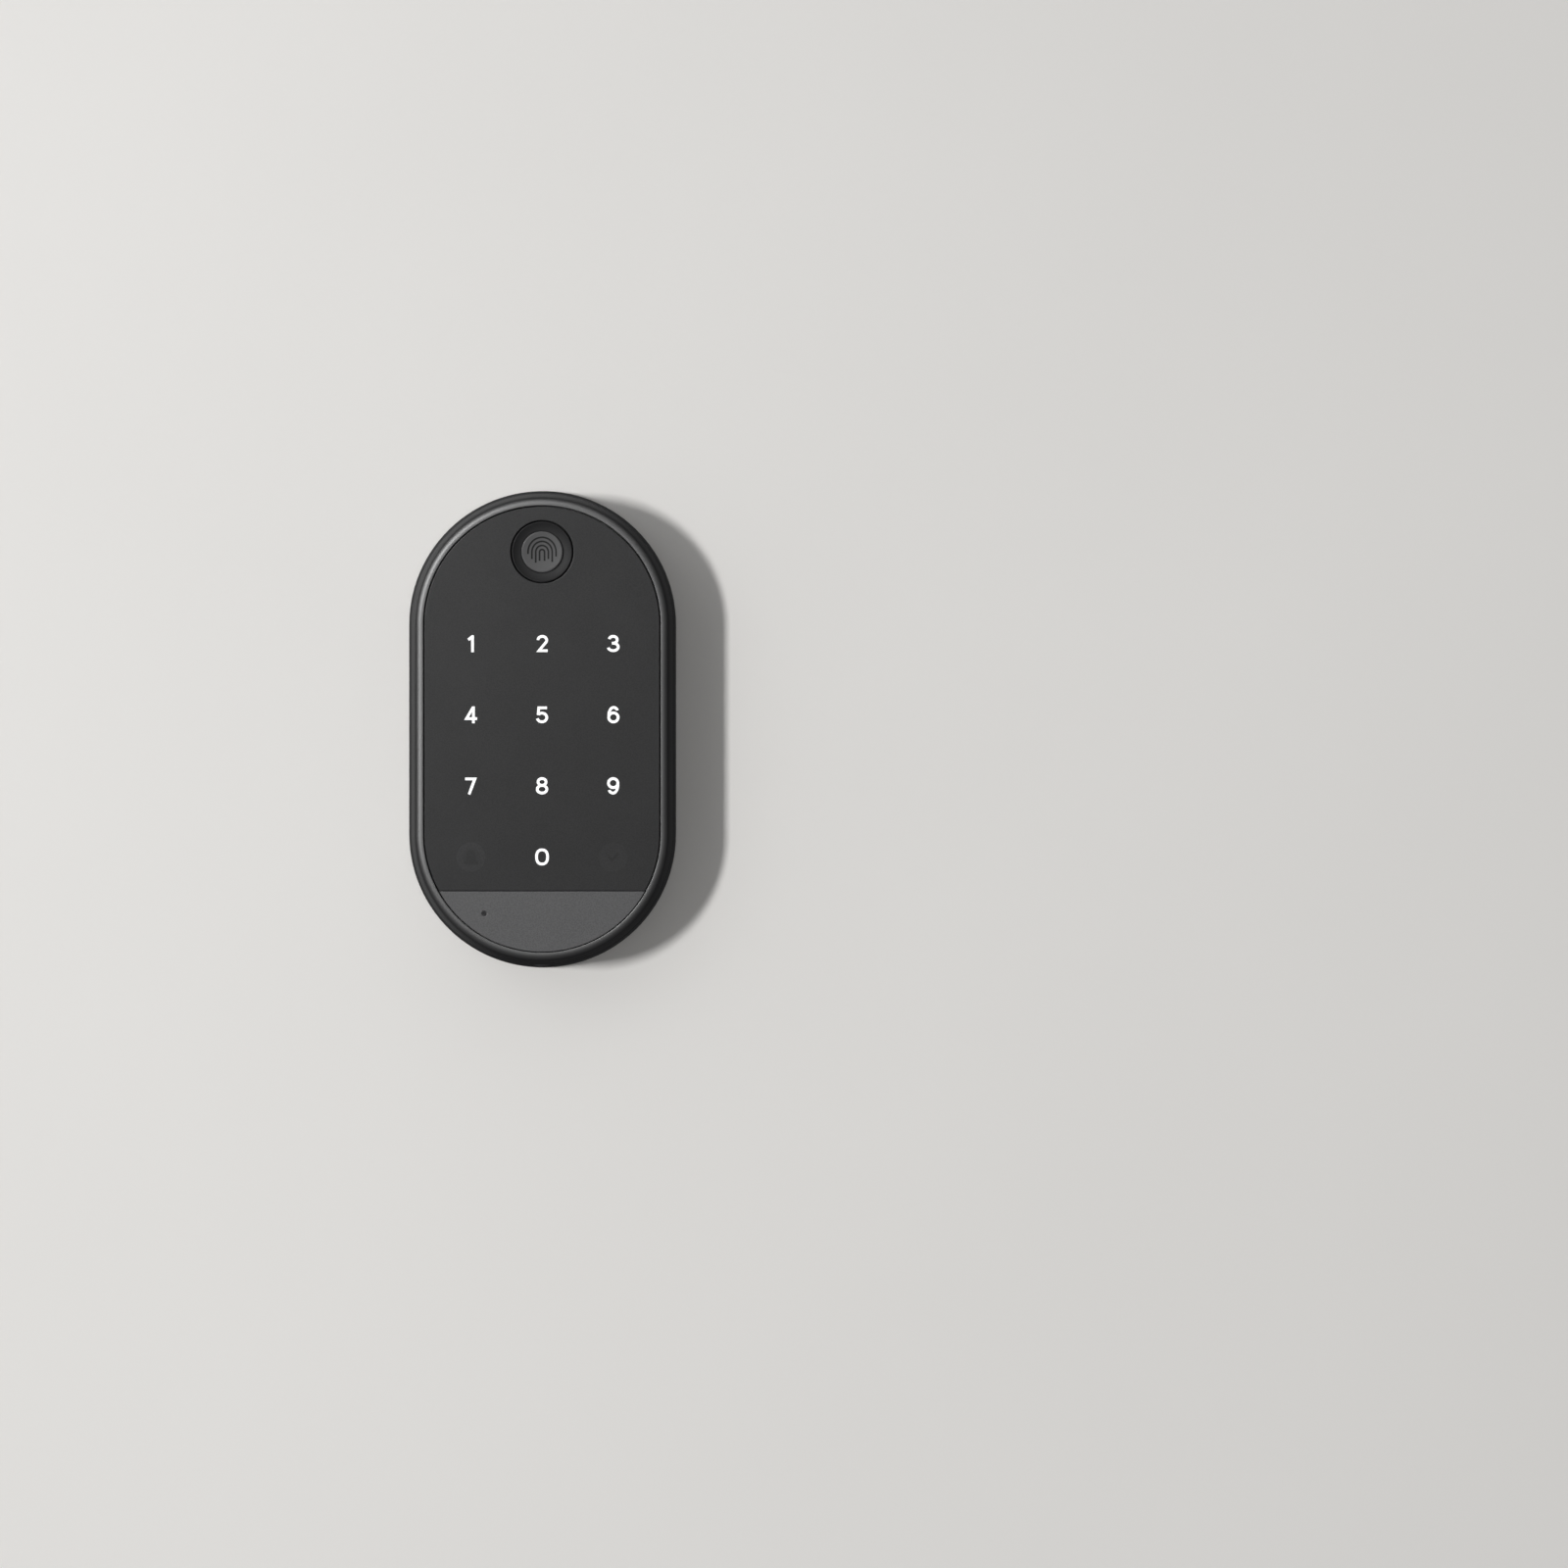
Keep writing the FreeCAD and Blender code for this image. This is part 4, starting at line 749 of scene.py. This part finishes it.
class KEYPAD_OT_finishes(bpy.types.Operator):
    """Make every finish and put it on the CAD pieces"""

    bl_idname = "keypad.finishes"
    bl_label = "Finishes"

    def execute(self, context):
        finishes = make_finishes()
        context.scene["keypad_finishes"] = {slot: m.name for slot, m in finishes.items()}
        slots = {part["node"]: part["material_slot"] for part in frame["record"]["subparts"]}
        for name, node in frame["nodes"].items():
            for holder in node.material_slots:
                holder.material = finishes[slots[name]]
        weave = woven_steel("woven_steel", (0.3, 0.3, 0.3))
        frame["nodes"]["sound_mesh"].material_slots[0].material = weave.material
        return {"FINISHED"}


class KEYPAD_OT_front_frame(bpy.types.Operator):
    """Build the drafted front frame with its lip, ledge, cross bar, screw bosses and sound slots"""

    bl_idname = "keypad.front_frame"
    bl_label = "Front frame"

    def execute(self, context):
        s = sizes()
        slope = math.tan(s.draft)
        parting_half = CASE_HALF - (s.parting - s.foot) * slope
        front_half = CASE_HALF - (FRONT - s.foot) * slope
        recess = PANEL_HALF + s.recess_gap
        bond, ledge_thick, wall = 0.3 * MM, 1.6 * MM, 1.6 * MM
        rebate_wide, rebate_deep = 1.2 * MM, 1.9 * MM
        back_round = 0.15 * MM
        ledge_front = PANEL_BACK - bond
        ledge_back = ledge_front - ledge_thick
        ledge_half = recess - s.ledge
        rebate = parting_half - rebate_wide
        inner = rebate - wall
        rebate_front = s.parting + rebate_deep
        tiny = s.edge_round
        corners = [
            (parting_half, s.parting, back_round),
            (front_half, FRONT, s.lip_round),
            (recess, FRONT, s.lip_inner),
            (recess, ledge_front, tiny),
            (ledge_half, ledge_front, tiny),
            (ledge_half, ledge_back, tiny),
            (inner, ledge_back, tiny),
            (inner, rebate_front, tiny),
            (rebate, rebate_front, tiny),
            (rebate, s.parting, tiny),
        ]
        table = np.array(corners)
        shell = carry_round(soften(table[:, :2], table[:, 2]))
        slots = self.sound_slots(parting_half)
        piece("front_frame", [shell], "bezel_finish", replaces=["front_bezel"], holes=slots)
        bar_half = 2.45 * MM
        reach = ledge_half + tiny
        bar = block((-reach, -ledge_front, SEAM - bar_half), (reach, -ledge_back, SEAM + bar_half))
        piece("frame_ribs", [bar] + self.bosses(inner, ledge_back), "bezel_finish")
        return {"FINISHED"}

    def bosses(self, inner, front):
        """Four hollow screw bosses inside the frame, at 35 degrees up and down each side."""
        radius, bore, back, bite = 3.2 * MM, 1.28 * MM, 8.5 * MM, 0.1 * MM
        reach = inner - radius + bite
        turn = math.radians(35)
        profile = np.array([(bore, back), (radius, back), (radius, front), (bore, front)])
        places = [(side * reach * math.cos(turn), level * (ARC + reach * math.sin(turn)))
                  for side in (-1, 1) for level in (-1, 1)]
        return [turn_round(profile, place, 32) for place in places]

    def sound_slots(self, half):
        """Three slabs with round ends, stood upright, that pass through the frame's bottom."""
        width, height, pitch, depth = 7.0 * MM, 1.2 * MM, 9.0 * MM, 14.5 * MM
        outside, inside = 1 * MM, 6 * MM
        levels = (-ARC - half - outside, -ARC - half + inside)
        bars = []
        for middle in (-pitch, 0.0, pitch):
            reach = (width - height) / 2
            ends = [arc((middle + way * reach, depth), (height / 2,) * 2, first, first + 180, 12)
                    for way, first in ((1, -90), (-1, 90))]
            rim = np.concatenate(ends)
            points, faces = slab(rim, *levels, (middle, depth))
            bars.append((points[:, [0, 2, 1]] * (1, -1, -1), faces))
        return bars


def face_outline(above):
    """The outline, as a function of its inset, of the face above or below the seam: arcs of
    the case's shape, joined by straight runs, and closed along the seam."""
    way = 1 if above else -1
    half_turn, corner, straight = 161, 24, 50

    def outline(inset):
        half = PANEL_HALF - inset
        seam = SEAM + way * (sizes().seam_gap / 2 + inset)
        start = math.degrees(math.asin((seam + ARC) / half))
        low, high = (0, -ARC), (0, ARC)
        if above:
            runs = [
                arc(low, (half, half), start, 0, corner),
                arc(high, (half, half), 0, 180, half_turn),
                arc(low, (half, half), 180, 180 - start, corner),
            ]
        else:
            runs = [arc(low, (half, half), 180 - start, 360 + start, half_turn)]
        gaps = zip(runs, runs[1:] + runs[:1])
        between = [np.linspace(run[-1], after[0], straight)[1:-1] for run, after in gaps]
        return np.concatenate([part for pair in zip(runs, between) for part in pair])

    return outline


class KEYPAD_OT_touch_panel(bpy.types.Operator):
    """Build the dark touch panel with the hole for the fingerprint reader"""

    bl_idname = "keypad.touch_panel"
    bl_label = "Touch panel"

    def execute(self, context):
        s = sizes()
        hole = (np.array((0.0, READER)), s.ring_radius + s.hole_gap)
        solid = plate_round_hole(face_outline(True), *hole, PANEL_BACK, PANEL_FRONT, s.face_round)
        piece("touch_face", [solid], "panel_plastic", replaces=["touch_panel"])
        return {"FINISHED"}


class KEYPAD_OT_lower_band(bpy.types.Operator):
    """Build the lighter band under the seam, with its pinhole and the tube behind it"""

    bl_idname = "keypad.lower_band"
    bl_label = "Lower band"

    def execute(self, context):
        s = sizes()
        hole = (np.array(PINHOLE), s.pinhole)
        solid = plate_round_hole(face_outline(False), *hole, PANEL_BACK, PANEL_FRONT, s.face_round)
        bore, wall, back = 1.58 * MM, 0.9 * MM, -BAND_HIGH.y
        rim = bore + wall
        profile = np.array([(bore, back), (rim, back), (rim, PANEL_BACK), (bore, PANEL_BACK)])
        tube = turn_round(profile, PINHOLE, 48)
        piece("band_face", [solid, tube], "band_plastic", replaces=["lower_band"])
        return {"FINISHED"}


class KEYPAD_OT_reader(bpy.types.Operator):
    """Build the reader's dished ring, its touch disc and the fingerprint symbol on the disc"""

    bl_idname = "keypad.reader"
    bl_label = "Fingerprint reader"

    def execute(self, context):
        s = sizes()
        self.ring(s)
        self.disc(s)
        self.mark(s)
        return {"FINISHED"}

    def ring(self, s):
        """Profile: flange, neck, rounded rim, and a face that falls in a hollow arc."""
        front, back = -RING_LOW.y, -RING_HIGH.y
        flange_thick, disc_gap, rim = 0.9 * MM, 0.15 * MM, 0.25 * MM
        flange = RING_HIGH.x
        flange_front = back + flange_thick
        bore = DISC_HIGH.x + disc_gap
        top = (s.ring_radius - rim, front)
        foot = (bore, front - s.ring_dish)
        chord = np.subtract(foot, top)
        span = np.linalg.norm(chord)
        across = np.array((chord[1], -chord[0])) / span
        middle = (np.array(top) + foot) / 2
        t = np.linspace(-1, 1, 24)[1:-1, None]
        rise = math.sqrt(s.dish_curve**2 - (span / 2) ** 2)
        sag = np.sqrt(s.dish_curve**2 - (t * span / 2) ** 2) - rise
        bow = across if across[1] < 0 else -across
        dish = middle + chord * t / 2 + bow * sag
        edge = round_edge(s.ring_radius, front, rim)
        base = [(bore, back), (flange, back), (flange, flange_front), (s.ring_radius, flange_front)]
        profile = np.concatenate([base, edge, dish, [foot]])
        solid = turn_round(profile, (0, READER))
        piece("reader_ring", [solid], "ring_finish", replaces=["sensor_ring"])

    def disc(self, s):
        """Profile: a straight wall, a small rounded edge, and a face hollowed like a lens."""
        radius = DISC_HIGH.x
        edge = round_edge(radius, DISC_FRONT, DISC_RIM)
        r = np.linspace(radius - DISC_RIM, 0, 20)[1:]
        face = np.stack([r, self.face_depth(s, r)], 1)
        profile = np.concatenate([[(0, -DISC_HIGH.y), (radius, -DISC_HIGH.y)], edge, face])
        solid = turn_round(profile, (0, READER))
        piece("reader_disc", [solid], "disc_finish", replaces=["sensor_disc"])

    def face_depth(self, s, radius):
        """Depth of the disc's hollow face at a radius: a parabola."""
        reach = DISC_HIGH.x - DISC_RIM
        return DISC_FRONT - s.disc_hollow * (1 - np.minimum(radius / reach, 1) ** 2)

    def mark(self, s):
        """Four nested arches with legs of different lengths, as a plain sign for a fingertip. Their
        near-black colour is painted shade, standing in for the shade of engraved grooves.
        """
        # Near-black strokes: painted shade in place of engraved grooves.
        finish = moulded("mark_groove_shade", (0.007, 0.007, 0.007), 0.5, 0.2 * MM, shine=0.15)
        rise, root = 0.02 * MM, 0.4 * MM

        def front(points):
            radius = np.hypot(points[:, 0], points[:, 1] - READER)
            return self.face_depth(s, radius) + rise

        pitch, first, stretch = 1.06 * MM, 0.65, 1.06
        crown = READER - 0.1 * MM
        solids = []
        for number, legs in enumerate([(2.4, 2.4), (2.9, 1.9), (1.9, 2.7), (0.5, 1.2)]):
            radius = pitch * (number + first)
            hoop = arc((0, crown), (radius, radius * stretch), 0, 180, 40)
            left, right = ([(side * radius, crown - leg * MM)] for side, leg in zip((-1, 1), legs))
            path = np.concatenate([right, hoop, left])
            solids.append(pen_stroke(path, s.mark_pen, DISC_FRONT - root, front))
        piece("fingerprint_mark", solids, "disc_finish", finish.material)


def glyphs():
    """Centre lines (x, z) of the digits at GLYPH_HEIGHT: lists of (path, closed) strokes. The
    zero is a superellipse, cosine and sine raised to one power; the rest are arcs and lines."""
    turns = np.radians(np.linspace(0, 360, 64, endpoint=False))
    fullness = 0.84
    oval = [np.sign(f) * np.abs(f) ** fullness for f in (np.cos(turns), np.sin(turns))]
    two = np.concatenate([arc((0.08, 0.98), (1.2, 1.06), 178, -38), [(-0.85, -1.92), (1.55, -1.92)]])
    hook = np.concatenate([arc((0.1, -0.1), (1.3, 2.15), 192, 92), arc((0.1, 0.98), (1.1, 1.07), 88, 14)])
    six = [(arc((0.08, -0.7), (1.3, 1.24), 0, 360, 64)[:-1], True), (hook, False)]
    # The six turned half round.
    nine = [((0.08, 0.1) - path, closed) for path, closed in six]
    return {
        "0": [(np.stack([1.52 * oval[0], 0.05 + 1.95 * oval[1]], 1), True)],
        "1": [([(0.45, -2.32), (0.45, 2.32)], False), ([(-0.72, 1.08), (0.38, 1.96)], False)],
        "2": [(two, False)],
        "3": [
            (np.concatenate([arc((0, 1.1), (1.12, 0.95), 168, -90), [(-0.35, 0.15)]]), False),
            (np.concatenate([[(-0.35, 0.15)], arc((0.02, -0.88), (1.4, 1.03), 90, -168)]), False),
        ],
        "4": [([(0.63, 2.1), (-1.22, -1.04), (1.7, -1.04)], False), ([(0.7, -2.32), (0.7, 2.32)], False)],
        "5": [
            ([(1.36, 1.95), (-0.9, 1.95), (-1.07, -0.05)], False),
            (arc((-0.02, -0.72), (1.32, 1.2), 136, -166, 40), False),
        ],
        "6": six,
        "7": [([(-1.6, 1.95), (1.1, 1.95), (-0.5, -2.32)], False)],
        "8": [
            (arc((0, 1.12), (1.1, 0.93), 0, 360, 56)[:-1], True),
            (arc((0, -0.89), (1.32, 1.05), 0, 360, 64)[:-1], True),
        ],
        "9": nine,
    }


def key_place(row, column):
    """Centre (x, z) of a key; rows count down from 0, and columns run -1, 0, 1."""
    return np.array((column * KEY_PITCH, KEY_TOP - row * KEY_PITCH))


class KEYPAD_OT_digits(bpy.types.Operator):
    """Print the ten digits on the touch panel"""

    bl_idname = "keypad.digits"
    bl_label = "Digits"

    def execute(self, context):
        s = sizes()
        finish = lit_print("digit_print", colours().digits, 0.45)
        scale = s.digit_height / GLYPH_HEIGHT
        overlap = 0.003 * MM
        places = {str(n): key_place((n - 1) // 3, (n - 1) % 3 - 1) for n in range(1, 10)}
        places["0"] = key_place(3, 0)
        for digit, strokes in glyphs().items():
            solids = []
            for number, (path, closed) in enumerate(strokes):
                line = np.asarray(path) * scale + places[digit]
                front = PANEL_FRONT + s.print_rise + number * overlap
                solids.append(pen_stroke(line, s.digit_pen, PANEL_FRONT - PRINT_ROOT, front, closed))
            piece(f"digit_{digit}", solids, "white_plastic", finish.material)
        return {"FINISHED"}


class KEYPAD_OT_symbols(bpy.types.Operator):
    """Print the two unlit round symbols beside the zero: a bell and a tick"""

    bl_idname = "keypad.symbols"
    bl_label = "Unlit symbols"

    def execute(self, context):
        s = sizes()
        base = tuple(colours().panel)
        field, ring, shape = (
            moulded(f"symbol_{name}", tuple(c * share for c in base), tone=0.2, cloud=0.04, **FACE_GRAIN)
            for name, share in (("field", 1.25), ("ring", 1.5), ("shape", 0.8))
        )
        back = PANEL_FRONT - PRINT_ROOT
        field_front, ring_front, shape_front = (PANEL_FRONT + rise * MM for rise in (0.01, 0.015, 0.02))
        bell_place, tick_place = key_place(3, -1), key_place(3, 1)
        for name, place in (("bell", bell_place), ("tick", tick_place)):
            disc = arc(place, (s.symbol_radius,) * 2, 0, 360, 73)[:-1]
            solid = slab(disc, back, field_front, place)
            piece(f"{name}_field", [solid], "panel_plastic", field.material)
        band = 1.5 * MM
        hoop = arc(bell_place, (s.symbol_radius - band / 2,) * 2, 0, 360, 73)[:-1]
        solid = pen_stroke(hoop, band, back, ring_front, closed=True)
        piece("bell_ring", [solid], "panel_plastic", ring.material)
        piece("bell_shape", [self.bell(bell_place, back, shape_front)], "panel_plastic", shape.material)
        tick_pen = 0.7 * MM
        tick = np.array([(-1.3, 0.1), (-0.35, -0.9), (1.4, 1.05)]) * MM + tick_place
        solid = pen_stroke(tick, tick_pen, back, shape_front)
        piece("tick_shape", [solid], "panel_plastic", shape.material)
        return {"FINISHED"}

    def bell(self, place, back, front):
        """Half-width over height: a dome, a waist and a flare, mirrored left to right."""
        t = np.linspace(0, 1, 24)
        half = 1.35 * np.sqrt(1 - t**4) + 0.8 * np.exp(-((t / 0.16) ** 2))
        right = np.stack([half, 4.0 * t - 1.9], 1) * MM
        left = right[::-1] * (-1, 1)
        return slab(np.concatenate([right, left[1:]]) + place, back, front, place)


class KEYPAD_OT_stage(bpy.types.Operator):
    """Set the wall, the floor, the lights and the camera"""

    bl_idname = "keypad.stage"
    bl_label = "Stage"

    def execute(self, context):
        scene = context.scene
        studio = scene.keypad_studio
        scene.view_settings.view_transform = "Standard"
        self.backdrop()
        self.lights(studio)
        self.room(scene, studio)
        self.camera(scene, studio)
        return {"FINISHED"}

    def plane(self, name, corners, finish):
        """One quad that lights and shades nothing."""
        mesh = bpy.data.meshes.new(name)
        mesh.from_pydata(corners, [], [(0, 1, 2, 3)])
        mesh.materials.append(finish.material)
        obj = bpy.data.objects.new(name, mesh)
        bpy.context.scene.collection.objects.link(obj)
        obj.visible_diffuse = False
        obj.visible_glossy = False
        obj.visible_shadow = False

    def backdrop(self):
        """A plain wall and a plain floor, each seen only from the side that faces the keypad."""
        c = colours()
        wide, low, high, near, gap = 4.0, -1.0, 3.0, 5.0, 0.2 * MM
        wall = [(-wide, gap, low), (wide, gap, low), (wide, gap, high), (-wide, gap, high)]
        self.plane("wall", wall, one_sided_paint("wall_paint", c.wall))
        floor = [(-wide, -near, low), (wide, -near, low), (wide, near, low), (-wide, near, low)]
        self.plane("floor", floor, one_sided_paint("floor_paint", c.floor, 0.6))

    def lamp(self, name, kind, power, place):
        """A light that faces the keypad's middle and that the camera doesn't see."""
        data = bpy.data.lights.new(name, kind)
        data.energy = power
        lamp = bpy.data.objects.new(name, data)
        lamp.location = place
        lamp.rotation_euler = (-Vector(place)).to_track_quat("-Z", "Y").to_euler()
        lamp.visible_camera = False
        bpy.context.scene.collection.objects.link(lamp)
        return lamp

    def softbox(self, name, power, place, width, height):
        """A light with a rectangular face."""
        lamp = self.lamp(name, "AREA", power, place)
        lamp.data.shape = "RECTANGLE"
        lamp.data.size = width
        lamp.data.size_y = height
        return lamp

    def sun(self, name, power, place, degrees, shadow=True):
        """A matte wash of light that gives no gloss."""
        lamp = self.lamp(name, "SUN", power, place)
        lamp.data.angle = math.radians(degrees)
        lamp.data.use_shadow = shadow
        lamp.visible_glossy = False

    def lights(self, studio):
        """A key from the left, three softboxes that only give gloss, and suns that wash the
        sides away from the key. Those from below and the right cast no shadow; the one from
        straight behind stays inside the sides' draft, so that it doesn't graze them."""
        far, key_rise = 2.6, 0.06
        place = (-far * math.sin(studio.key_angle), -far * math.cos(studio.key_angle), key_rise)
        key = self.softbox("key", studio.key_power, place, 0.16, 0.3)
        key.visible_glossy = False
        near, tilt, turn, side = 0.7, math.radians(40), math.radians(148), 0.34
        across = near * math.sin(tilt)
        place = (across * math.cos(turn), -near * math.cos(tilt), across * math.sin(turn))
        for settings in (
            ("gloss", studio.gloss_power, place, side, side),
            ("top", 3.0, (0.1, -0.65, 0.75), 0.8, 0.3),
            ("rim", 0.3, (-0.25, 1.4, 0.1), 0.25, 0.15),
        ):
            self.softbox(*settings).visible_diffuse = False
        self.sun("flank", 1.3, (2.0, -0.25, -0.2), 20, shadow=False)
        self.sun("back", 1.2, (0.02, 2.0, 0.03), 4)
        self.sun("under", 2.0, (0.1, 0.04, -2.0), 5, shadow=False)
        self.sun("slant", 1.8, (0.9, 2.0, 1.1), 8)

    def room(self, scene, studio):
        """Pale to the eye; as a light it is dim, brighter from the upper left and nearly dark
        behind the wall."""
        world = bpy.data.worlds.new("room")
        scene.world = world
        world.use_nodes = True
        nodes = Nodes(world.node_tree)
        where = nodes.add("ShaderNodeTexCoord", output="Generated")
        upper_left, forward, pale = (-0.62, -0.3, 0.72), (0.0, -1.0, 0.0), 0.86
        along, ahead = (
            nodes.add("ShaderNodeVectorMath", {"operation": "DOT_PRODUCT"}, {0: where, 1: way}, "Value")
            for way in (upper_left, forward)
        )
        dim = (along.ramp(-0.6, 1.0) + 0.7) * (ahead.ramp(-0.25, 0.35) * 0.9 + 0.1) * studio.fill
        seen = nodes.add("ShaderNodeLightPath", output="Is Camera Ray")
        sockets = {"Color": (1.0, 1.0, 1.0), "Strength": dim + (pale - dim) * seen}
        shader = nodes.add("ShaderNodeBackground", None, sockets)
        nodes.node("ShaderNodeOutputWorld", None, {"Surface": shader})

    def camera(self, scene, studio):
        """Straight at the wall, with the keypad left of the middle."""
        data = bpy.data.cameras.new("camera")
        data.sensor_width = 36.0
        data.lens = data.sensor_width * studio.view_distance / studio.view_width
        data.clip_end = 5 * studio.view_distance
        camera = bpy.data.objects.new("camera", data)
        camera.location = (studio.view_side, -studio.view_distance, studio.view_rise)
        camera.rotation_euler = (math.pi / 2, 0, 0)
        scene.collection.objects.link(camera)
        scene.camera = camera


OPERATORS = (
    KEYPAD_OT_finishes,
    KEYPAD_OT_front_frame,
    KEYPAD_OT_touch_panel,
    KEYPAD_OT_lower_band,
    KEYPAD_OT_reader,
    KEYPAD_OT_digits,
    KEYPAD_OT_symbols,
    KEYPAD_OT_stage,
)


class KEYPAD_PT_sidebar(bpy.types.Panel):
    """Lists the steps that build the keypad's looks"""

    bl_idname = "KEYPAD_PT_sidebar"
    bl_label = "Wall keypad"
    bl_space_type = "VIEW_3D"
    bl_region_type = "UI"
    bl_category = "Keypad"

    def draw(self, context):
        for operator in OPERATORS:
            self.layout.operator(operator.bl_idname)


GROUPS = {"keypad_sizes": KeypadSizes, "keypad_colours": KeypadColours, "keypad_studio": KeypadStudio}
CLASSES = (*GROUPS.values(), *OPERATORS, KEYPAD_PT_sidebar)


def register():
    for cls in CLASSES:
        bpy.utils.register_class(cls)
    for name, group in GROUPS.items():
        setattr(bpy.types.Scene, name, PointerProperty(type=group))


def unregister():
    for name in GROUPS:
        delattr(bpy.types.Scene, name)
    for cls in reversed(CLASSES):
        bpy.utils.unregister_class(cls)


def main():
    register()
    for operator in OPERATORS:
        family, name = operator.bl_idname.split(".")
        getattr(getattr(bpy.ops, family), name)()


if __name__ == "__main__":
    main()
